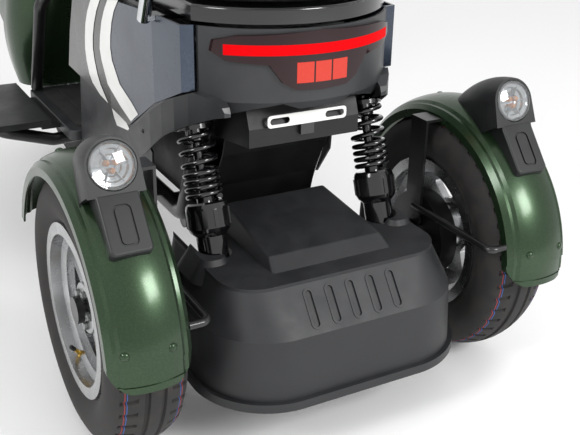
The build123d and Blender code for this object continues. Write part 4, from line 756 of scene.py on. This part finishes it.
# %% Fastener shapes
DOME_RIVET = [(0, 3.6), (3.0, 3.2), (5.4, 1.9), (6.6, 0.3), (6.6, -2)]
HEX_HEAD = [(0, 5.2), (1.8, 5.2), (2.4, 6), (5.6, 6), (6.6, 5), (6.6, 0), (8.4, 0), (8.4, -1), (0, -1)]
SMALL_SCREW = [(0, 0.6), (1.6, 0.6), (1.9, 1.8), (3.2, 1.8), (3.9, 1), (3.9, -1.2)]
rivet = turned(DOME_RIVET, 24)
hex_head = turned(HEX_HEAD, 6)
small_screw = turned(SMALL_SCREW, 20)

# %% [markdown]
# Two dome rivets hold each fender's tail and a third closes the hole near its top. They sit on the
# painted surface, square to it, and are sprayed with it. A ray cast at the sheet finds the exact place
# and slope.

# %% Fender fasteners
def on_surface(node, start, toward):
    """Where a line first meets a construction part, and the surface's outward direction there."""
    hit, place, normal, _ = nodes[node].ray_cast(start, (toward - start).normalized())
    if not hit:
        raise RuntimeError("no surface of " + node + " on that line")
    return facing(place, normal)


RIVETS = ((386, -232, 49), (318, -228, 46), (366, 96, 235))
for name, side in (("left", -1), ("right", 1)):
    shape = bmesh.new()
    for x, y, z in RIVETS:
        spot = on_surface("rear_fender_" + name, from_axle(side * x, 2 * y, 2 * z), from_axle(side * x, 0, 0))
        stamp(shape, rivet, spot)
    add_piece("fender_rivets_" + name, shape, "chassis", green_paint)

# %% [markdown]
# ## Wheel fasteners
#
# Five bolts clamp each wheel to its hub, and a brass valve stem with a black cap stands in the
# barrel between two spokes.

# %% Wheel bolts and valves
VALVE = [(0, 26), (2.2, 26), (2.4, 17), (3.4, 15), (3.4, 6), (5.2, 4), (6.4, -3)]
VALVE_CAP = [(0, 33), (2.4, 33), (3.6, 31), (3.8, 21), (0, 21)]
BOLTS = 5
BOLT_CIRCLE_R = 28
HUB_FACE = 35
FRONT_HUB_FACE = 42
VALVE_TURN = 0.815
VALVE_R = 121
VALVE_X = 34
VALVE_LEAN = 0.7


def round_wheel(side, x, radius, angle):
    """A step in metres from a wheel's middle to a place at a radius and an angle round it."""
    return Vector((side * x, radius * math.cos(angle), radius * math.sin(angle))) / 1000


WHEELS = (
    ("rear_wheel_left", "rear_tyre_left", -1, HUB_FACE),
    ("rear_wheel_right", "rear_tyre_right", 1, HUB_FACE),
    ("front_wheel", "front_tyre", 1, FRONT_HUB_FACE),
)
valve = turned(VALVE, 16)
valve_cap = turned(VALVE_CAP, 12)
for body, node, side, face_x in WHEELS:
    centre = middle(node)
    bolts, stem, cap = bmesh.new(), bmesh.new(), bmesh.new()
    for i in range(BOLTS):
        spot = centre + round_wheel(side, face_x, BOLT_CIRCLE_R, TURN * (i + 0.5) / BOLTS)
        stamp(bolts, hex_head, facing(spot, Vector((side, 0, 0))))
    angle = TURN * VALVE_TURN
    spot = centre + round_wheel(side, VALVE_X, VALVE_R, angle)
    lean = facing(spot, Vector((side * VALVE_LEAN, -math.cos(angle), -math.sin(angle))))
    stamp(stem, valve, lean)
    stamp(cap, valve_cap, lean)
    add_piece(body + "_bolts", bolts, body, zinc)
    add_piece(body + "_valve", stem, body, brass)
    add_piece(body + "_valve_cap", cap, body, hand_rubber)

# %% [markdown]
# ## Fender lamps
#
# Each lamp is a bowl: a chromed reflector with stepped facets, thin dull fins that part it into sectors
# and stand in for the dark reflections in its facets as painted reflection, three amber bulbs in its
# middle, a clear lens over them, and a bezel ring. All but the fins are turned shapes. They share one
# axis, the lamp's own, which points back and a little up.

# %% Fender lamps
LAMP_X = 350
LAMP_TILT = math.radians(20)
# Each lamp stands at this angle round the axle, and this far over the fender.
LAMP_ANGLE = math.radians(113.7)
LAMP_OVER = 51.6
FENDER_R = 252
LAMP_Y = (FENDER_R + LAMP_OVER) * math.cos(LAMP_ANGLE)
LAMP_Z = (FENDER_R + LAMP_OVER) * math.sin(LAMP_ANGLE)
REFLECTOR = [(0, -11), (7, -11), (8, -9), (14, -9.5), (16, -6), (22, -5.5), (24, -1.5), (29, -1), (31.5, 2.5)]
BEZEL = [(30.8, 4.5), (31.2, 6.0), (33.2, 6.2), (34.4, 4.6), (34.4, 0), (33.8, -12), (30.4, -12), (30.8, 4.5)]
DOME_OUTSIDE = [(0, 8.6), (8, 8.3), (16, 7.4), (24, 5.8), (30.6, 3.6)]
DOME_INSIDE = [(30.6, 2.4), (24, 4.4), (16, 5.9), (8, 6.8), (0, 7.1)]
BULB = [(0, 4), (3.0, 3.2), (4.4, 0.6), (4.4, -9)]
BULBS = 3
BULB_R = 0.0075
BULB_TURN = 0.5
FINS = 6
FIN_MIDDLE = (0.019, 0, -0.004)
FIN_SIZE = (0.018, 0.0011, 0.008, 1)
shapes = {key: bmesh.new() for key in ("bowl", "ring", "dome", "bulbs", "fins")}
fin = bmesh.new()
bmesh.ops.create_cube(fin, size=1, matrix=Matrix.Translation(FIN_MIDDLE) @ Matrix.Diagonal(FIN_SIZE))
for side in (-1, 1):
    out = Vector((0, -math.cos(LAMP_TILT), math.sin(LAMP_TILT)))
    lamp = facing(from_axle(side * LAMP_X, LAMP_Y, LAMP_Z), out)
    stamp(shapes["bowl"], turned(REFLECTOR, 40), lamp)
    stamp(shapes["ring"], turned(BEZEL, 64), lamp)
    stamp(shapes["dome"], turned(DOME_OUTSIDE + DOME_INSIDE, 64), lamp)
    for i in range(BULBS):
        around = Matrix.Rotation(TURN * i / BULBS + BULB_TURN, 4, "Z") @ Matrix.Translation((BULB_R, 0, 0))
        stamp(shapes["bulbs"], turned(BULB, 18), lamp @ around)
    for i in range(FINS):
        stamp(shapes["fins"], fin, lamp @ Matrix.Rotation(TURN * i / FINS, 4, "Z"))
add_piece("lamp_reflectors", shapes["bowl"], "chassis", chrome)
add_piece("lamp_bezels", shapes["ring"], "chassis", clear_lens)
add_piece("lamp_glasses", shapes["dome"], "chassis", clear_lens, replaces=("lamp_lenses",))
add_piece("lamp_bulbs", shapes["bulbs"], "chassis", amber_bulb)
# Painted reflection: the fins are dull metal lines that stand in for the dark reflections in the reflector's
# facets.
add_piece("lamp_painted_reflection_fins", shapes["fins"], "chassis", cast_metal)

# %% [markdown]
# ## Tail lamp
#
# Behind the dark lens one bright light guide runs right across and three cells sit in the lobe under it.
# They are drawn as thin raised bands on the lens, bent round the same centre as the lens itself, so they
# follow its bow exactly.

# %% Tail lamp
BOW_CENTRE_Y = 135
LENS_R = 221.3
BAR_LOW, BAR_HIGH = 387, 405
BAR_LEFT, BAR_RIGHT = -143, 146
CELL_LOW, CELL_HIGH = 344, 378
CELL_PITCH = 30
CELL_HALF = 13.6
BAR_PROUD, CELL_PROUD = 0.7, 0.6
BAND_SLOPE = 1.5
BAND_STEP = 0.03


def bent_band(shape, x_from, x_to, z_from, z_to, proud):
    """Adds a thick band that follows the lens between two distances from the middle."""
    start = math.asin(x_from / LENS_R)
    sweep = math.asin(x_to / LENS_R) - start
    tool = bmesh.new()
    section = ((-1, z_from), (proud, z_from + BAND_SLOPE), (proud, z_to - BAND_SLOPE), (-1, z_to))
    verts = [tool.verts.new((0, -(LENS_R + r) / 1000, z / 1000)) for r, z in section]
    edges = [tool.edges.new(pair) for pair in zip(verts, verts[1:] + verts[:1])]
    bmesh.ops.contextual_create(tool, geom=edges)
    bmesh.ops.rotate(tool, verts=tool.verts, cent=(0, 0, 0), matrix=Matrix.Rotation(start, 3, "Z"))
    profile = tool.faces[:] + tool.edges[:] + tool.verts[:]
    steps = max(3, int(abs(sweep) / BAND_STEP))
    bmesh.ops.spin(tool, geom=profile, cent=(0, 0, 0), axis=(0, 0, 1), angle=sweep, steps=steps)
    stamp(shape, tool, Matrix.Translation(from_axle(0, BOW_CENTRE_Y, 0)))
    tool.free()


bar, cells = bmesh.new(), bmesh.new()
bent_band(bar, BAR_LEFT, BAR_RIGHT, BAR_LOW, BAR_HIGH, BAR_PROUD)
for x in (-CELL_PITCH, 0, CELL_PITCH):
    bent_band(cells, x - CELL_HALF, x + CELL_HALF, CELL_LOW, CELL_HIGH, CELL_PROUD)
add_piece("tail_light_guide", bar, "chassis", light_guide)
add_piece("tail_light_cells", cells, "chassis", red_cell)

# %% [markdown]
# ## Stripes on the side panels
#
# Two white films run down each panel; each bows forward and turns back towards the tail at its foot. It
# is a strip between two edge lines, laid just proud of the panel, which bows outwards slightly along its
# length. The front film goes on below the panel's edge, over the lower cover.

# %% Panel stripes
PANEL_PLAN = ((13, 192), (110, 200), (330, 204), (640, 198))
FILM_PROUD = 0.8
FILM_CUTS = 3
# Each film's edges, ahead and behind, as distances ahead of and above the axle.
STRIPES = (
    (
        [(313, 412), (337, 388), (356, 365), (371, 336), (378, 312)]
        + [(371, 292), (341, 254), (273, 229), (226, 216)],
        [(258, 421), (283, 398), (298, 376), (309, 349), (313, 327)]
        + [(308, 306), (274, 271), (218, 253), (188, 240)],
    ),
    (
        [(405, 405), (445, 368), (465, 339), (474, 314), (479, 290)]
        + [(475, 267), (461, 243), (442, 230), (395, 219)],
        [(350, 411), (385, 379), (406, 351), (419, 326), (424, 302)]
        + [(418, 280), (405, 257), (388, 240), (345, 216)],
    ),
)
# Where the front film goes on over the lower cover, which stands further in.
LOWER_STRIPE = (
    [(411, 212), (396, 198), (380, 176), (366, 164)],
    [(340, 212), (322, 199), (308, 186), (287, 176)],
)
LOWER_X = 183


def panel_x(y):
    """How far out the panel stands at a distance ahead of the axle."""
    for (y0, x0), (y1, x1) in zip(PANEL_PLAN, PANEL_PLAN[1:]):
        if y <= y1:
            return x0 + (x1 - x0) * (y - y0) / (y1 - y0)
    return PANEL_PLAN[-1][1]


def lay_film(shape, film, x_at):
    """Adds the strip between a film's two edges, standing where x_at says for each distance ahead."""
    rows = [[shape.verts.new(from_axle(x_at(y), y, z)) for y, z in edge] for edge in film]
    edges = [shape.edges.new(pair) for row in rows for pair in zip(row, row[1:])]
    bmesh.ops.bridge_loops(shape, edges=edges)


for name, side in (("left", -1), ("right", 1)):
    shape = bmesh.new()
    for film in STRIPES:
        lay_film(shape, film, lambda y: side * (panel_x(y) + FILM_PROUD))
    bmesh.ops.subdivide_edges(shape, edges=shape.edges, cuts=FILM_CUTS, use_grid_fill=True)
    for vert in shape.verts:
        vert.co.x = side * (panel_x((vert.co.y - axle.y) * 1000) + FILM_PROUD) / 1000
    lay_film(shape, LOWER_STRIPE, lambda y: side * (LOWER_X + FILM_PROUD))
    add_piece("panel_stripes_" + name, shape, "chassis", bright_white)

# %% [markdown]
# ## Screws that hold the tail
#
# One small black screw sits on each tail wing.

# %% Tail screws
SCREW_YZ = (152, 222)
OUTSIDE = 400
shape = bmesh.new()
for side in (-1, 1):
    spot = on_surface("tail_panel", from_axle(side * OUTSIDE, *SCREW_YZ), from_axle(0, *SCREW_YZ))
    stamp(shape, small_screw, spot)
add_piece("wing_screws", shape, "chassis", powder_coat)

# %% [markdown]
# ## Seat and backrest
#
# A seat is foam under stretched vinyl: the top crowns, the sides pull in between the corners, and the
# underside stays flat on its pan. Blowing the form up like a balloon as cloth gives that. The pan side
# is pinned, and no point may move further than the cap.

# %% Padded pieces
VOXEL = 0.006
SETTLE_FRAMES = 20
PRESSURE = 4
MESH_NOISE = 0.00005
SEAM_DEPTH = 0.005
SEAM_WIDTH = 0.006


def shrunk_copy(name, node, inset):
    """A copy of a construction part drawn in by an amount along each axis, to leave room to swell."""
    low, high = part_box(node)
    centre, size = (low + high) / 2, high - low
    shape = bmesh.new()
    shape.from_mesh(nodes[node].data)
    bmesh.ops.remove_doubles(shape, verts=shape.verts, dist=MESH_NOISE)
    keep = [(size[i] - 2 * inset[i]) / size[i] for i in range(3)]
    for vert in shape.verts:
        vert.co = Vector([centre[i] + (vert.co[i] - centre[i]) * keep[i] for i in range(3)])
    data = bpy.data.meshes.new(name)
    shape.to_mesh(data)
    shape.free()
    piece = bpy.data.objects.new(name, data)
    bpy.context.scene.collection.objects.link(piece)
    return piece


def apply_modifiers(piece):
    """Makes what the modifiers give the piece's own mesh."""
    seen = piece.evaluated_get(bpy.context.evaluated_depsgraph_get())
    data = bpy.data.meshes.new_from_object(seen)
    piece.modifiers.clear()
    old = piece.data
    piece.data = data
    bpy.data.meshes.remove(old)


def blow_up(piece, held, cap):
    """Swells a piece as cloth, keeping the held points still and no point moving further than the cap."""
    start = [vert.co.copy() for vert in piece.data.vertices]
    group = piece.vertex_groups.new(name="held")
    group.add([vert.index for vert in piece.data.vertices if held(vert.co)], 1.0, "ADD")
    cloth = piece.modifiers.new("cloth", "CLOTH")
    cloth.settings.use_pressure = True
    cloth.settings.uniform_pressure_force = PRESSURE
    cloth.settings.vertex_group_mass = "held"
    cloth.settings.effector_weights.gravity = 0
    scene = bpy.context.scene
    for number in range(1, SETTLE_FRAMES + 1):
        scene.frame_set(number)
    apply_modifiers(piece)
    scene.frame_set(1)
    for vert, first in zip(piece.data.vertices, start):
        move = vert.co - first
        if move.length > cap:
            vert.co = first + move.normalized() * cap


def sew(piece, lines, depth, width):
    """Sinks the surface along sewn lines; a line is a test of how far a point is from it, in metres."""
    for vert in piece.data.vertices:
        for distance, inward in lines:
            sink = depth * math.exp(-((distance(vert.co) / width) ** 2))
            vert.co += inward(vert.co) * sink


def soft_piece(name, node, body, inset, held, cap, lines):
    piece = shrunk_copy(name, node, inset)
    remesh = piece.modifiers.new("even mesh", "REMESH")
    remesh.mode = "VOXEL"
    remesh.voxel_size = VOXEL
    apply_modifiers(piece)
    blow_up(piece, held, cap)
    sew(piece, lines, SEAM_DEPTH, SEAM_WIDTH)
    low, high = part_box(node)
    for vert in piece.data.vertices:
        vert.co = Vector([min(max(vert.co[i], low[i]), high[i]) for i in range(3)])
    for polygon in piece.data.polygons:
        polygon.use_smooth = True
    smooth = piece.modifiers.new("rounded", "SUBSURF")
    smooth.levels = 1
    smooth.render_levels = 1
    dress(piece, vinyl)
    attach(piece, body)
    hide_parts(node)
    print(name, len(piece.data.vertices), "points")


seat_low, seat_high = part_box("seat_cushion")
SPLIT_SHARE = 0.42
PIPING_RISE = 0.026
TOP_RISE = 0.03
seat_split = seat_low.y + SPLIT_SHARE * (seat_high.y - seat_low.y)


def across_seat(co):
    return co.y - seat_split


def down_on_top(co):
    return Vector((0, 0, -1)) if co.z > seat_low.z + TOP_RISE else Vector()


def piping(co):
    return co.z - (seat_low.z + PIPING_RISE)


def in_from_sides(co):
    return Vector((-math.copysign(0.6, co.x), 0, 0))


soft_piece(
    "padded_seat", "seat_cushion", "seat",
    inset=(0.008, 0.008, 0.004),
    held=lambda co: co.z < seat_low.z + 0.014,
    cap=0.022,
    lines=[(across_seat, down_on_top), (piping, in_from_sides)],
)
back_low, back_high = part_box("backrest")
back_middle_y = (back_low.y + back_high.y) / 2
back_middle_z = (back_low.z + back_high.z) / 2


def across_back(co):
    return co.z - back_middle_z


def back_on_face(co):
    return Vector((0, -0.8, 0)) if co.y > back_middle_y else Vector()


soft_piece(
    "padded_backrest", "backrest", "chassis",
    inset=(0.008, 0.003, 0.008),
    held=lambda co: co.y < back_low.y + 0.012,
    cap=0.014,
    lines=[(across_back, back_on_face)],
)

# %% [markdown]
# ## Hand grips and mirrors
#
# Rubber grips carry raised rings so that a wet hand doesn't slip. The rings follow each grip's own axis,
# which is found from its two ends. The mirror glass is cut from the mirror housing's own rear face,
# drawn in from the rim and laid just proud of it.

# %% Grip rings
GRIP_RING = [(15.6, -1.5), (17.6, -1.0), (17.6, 1.0), (15.6, 1.5)]
RING_COUNT = 12
END_DEPTH = 0.008
ring = turned(GRIP_RING, 32)
shape = bmesh.new()
for side in (-1, 1):
    points = [vert.co.copy() for vert in nodes["grips"].data.vertices if vert.co.x * side > 0]
    reach = max(abs(p.x) for p in points)
    start = min(abs(p.x) for p in points)
    outer = [p for p in points if abs(p.x) > reach - END_DEPTH]
    inner = [p for p in points if abs(p.x) < start + END_DEPTH]
    end = sum(outer, Vector()) / len(outer)
    begin = sum(inner, Vector()) / len(inner)
    for i in range(RING_COUNT):
        spot = begin.lerp(end, (i + 1.5) / (RING_COUNT + 2))
        stamp(shape, ring, facing(spot, end - begin))
add_piece("grip_rings", shape, "steering", hand_rubber)

# %% Mirror glass
GLASS_MARGIN = 0.005
GLASS_PROUD = 0.0008
GLASS_TILT = 0.1
SAME_WAY = 0.999
shape = bmesh.new()
shape.from_mesh(nodes["mirrors"].data)
bmesh.ops.remove_doubles(shape, verts=shape.verts, dist=MESH_NOISE)
shape.normal_update()
behind = Vector((0, -1, GLASS_TILT)).normalized()
other = [face for face in shape.faces if face.normal.dot(behind) < SAME_WAY]
bmesh.ops.delete(shape, geom=other, context="FACES")
bmesh.ops.dissolve_limit(shape, angle_limit=0.01, verts=shape.verts, edges=shape.edges)
rim = bmesh.ops.inset_region(shape, faces=shape.faces, thickness=GLASS_MARGIN)
bmesh.ops.delete(shape, geom=rim["faces"], context="FACES")
bmesh.ops.translate(shape, vec=behind * GLASS_PROUD, verts=shape.verts)
add_piece("mirror_glass", shape, "steering", mirror_glass, smooth=False)
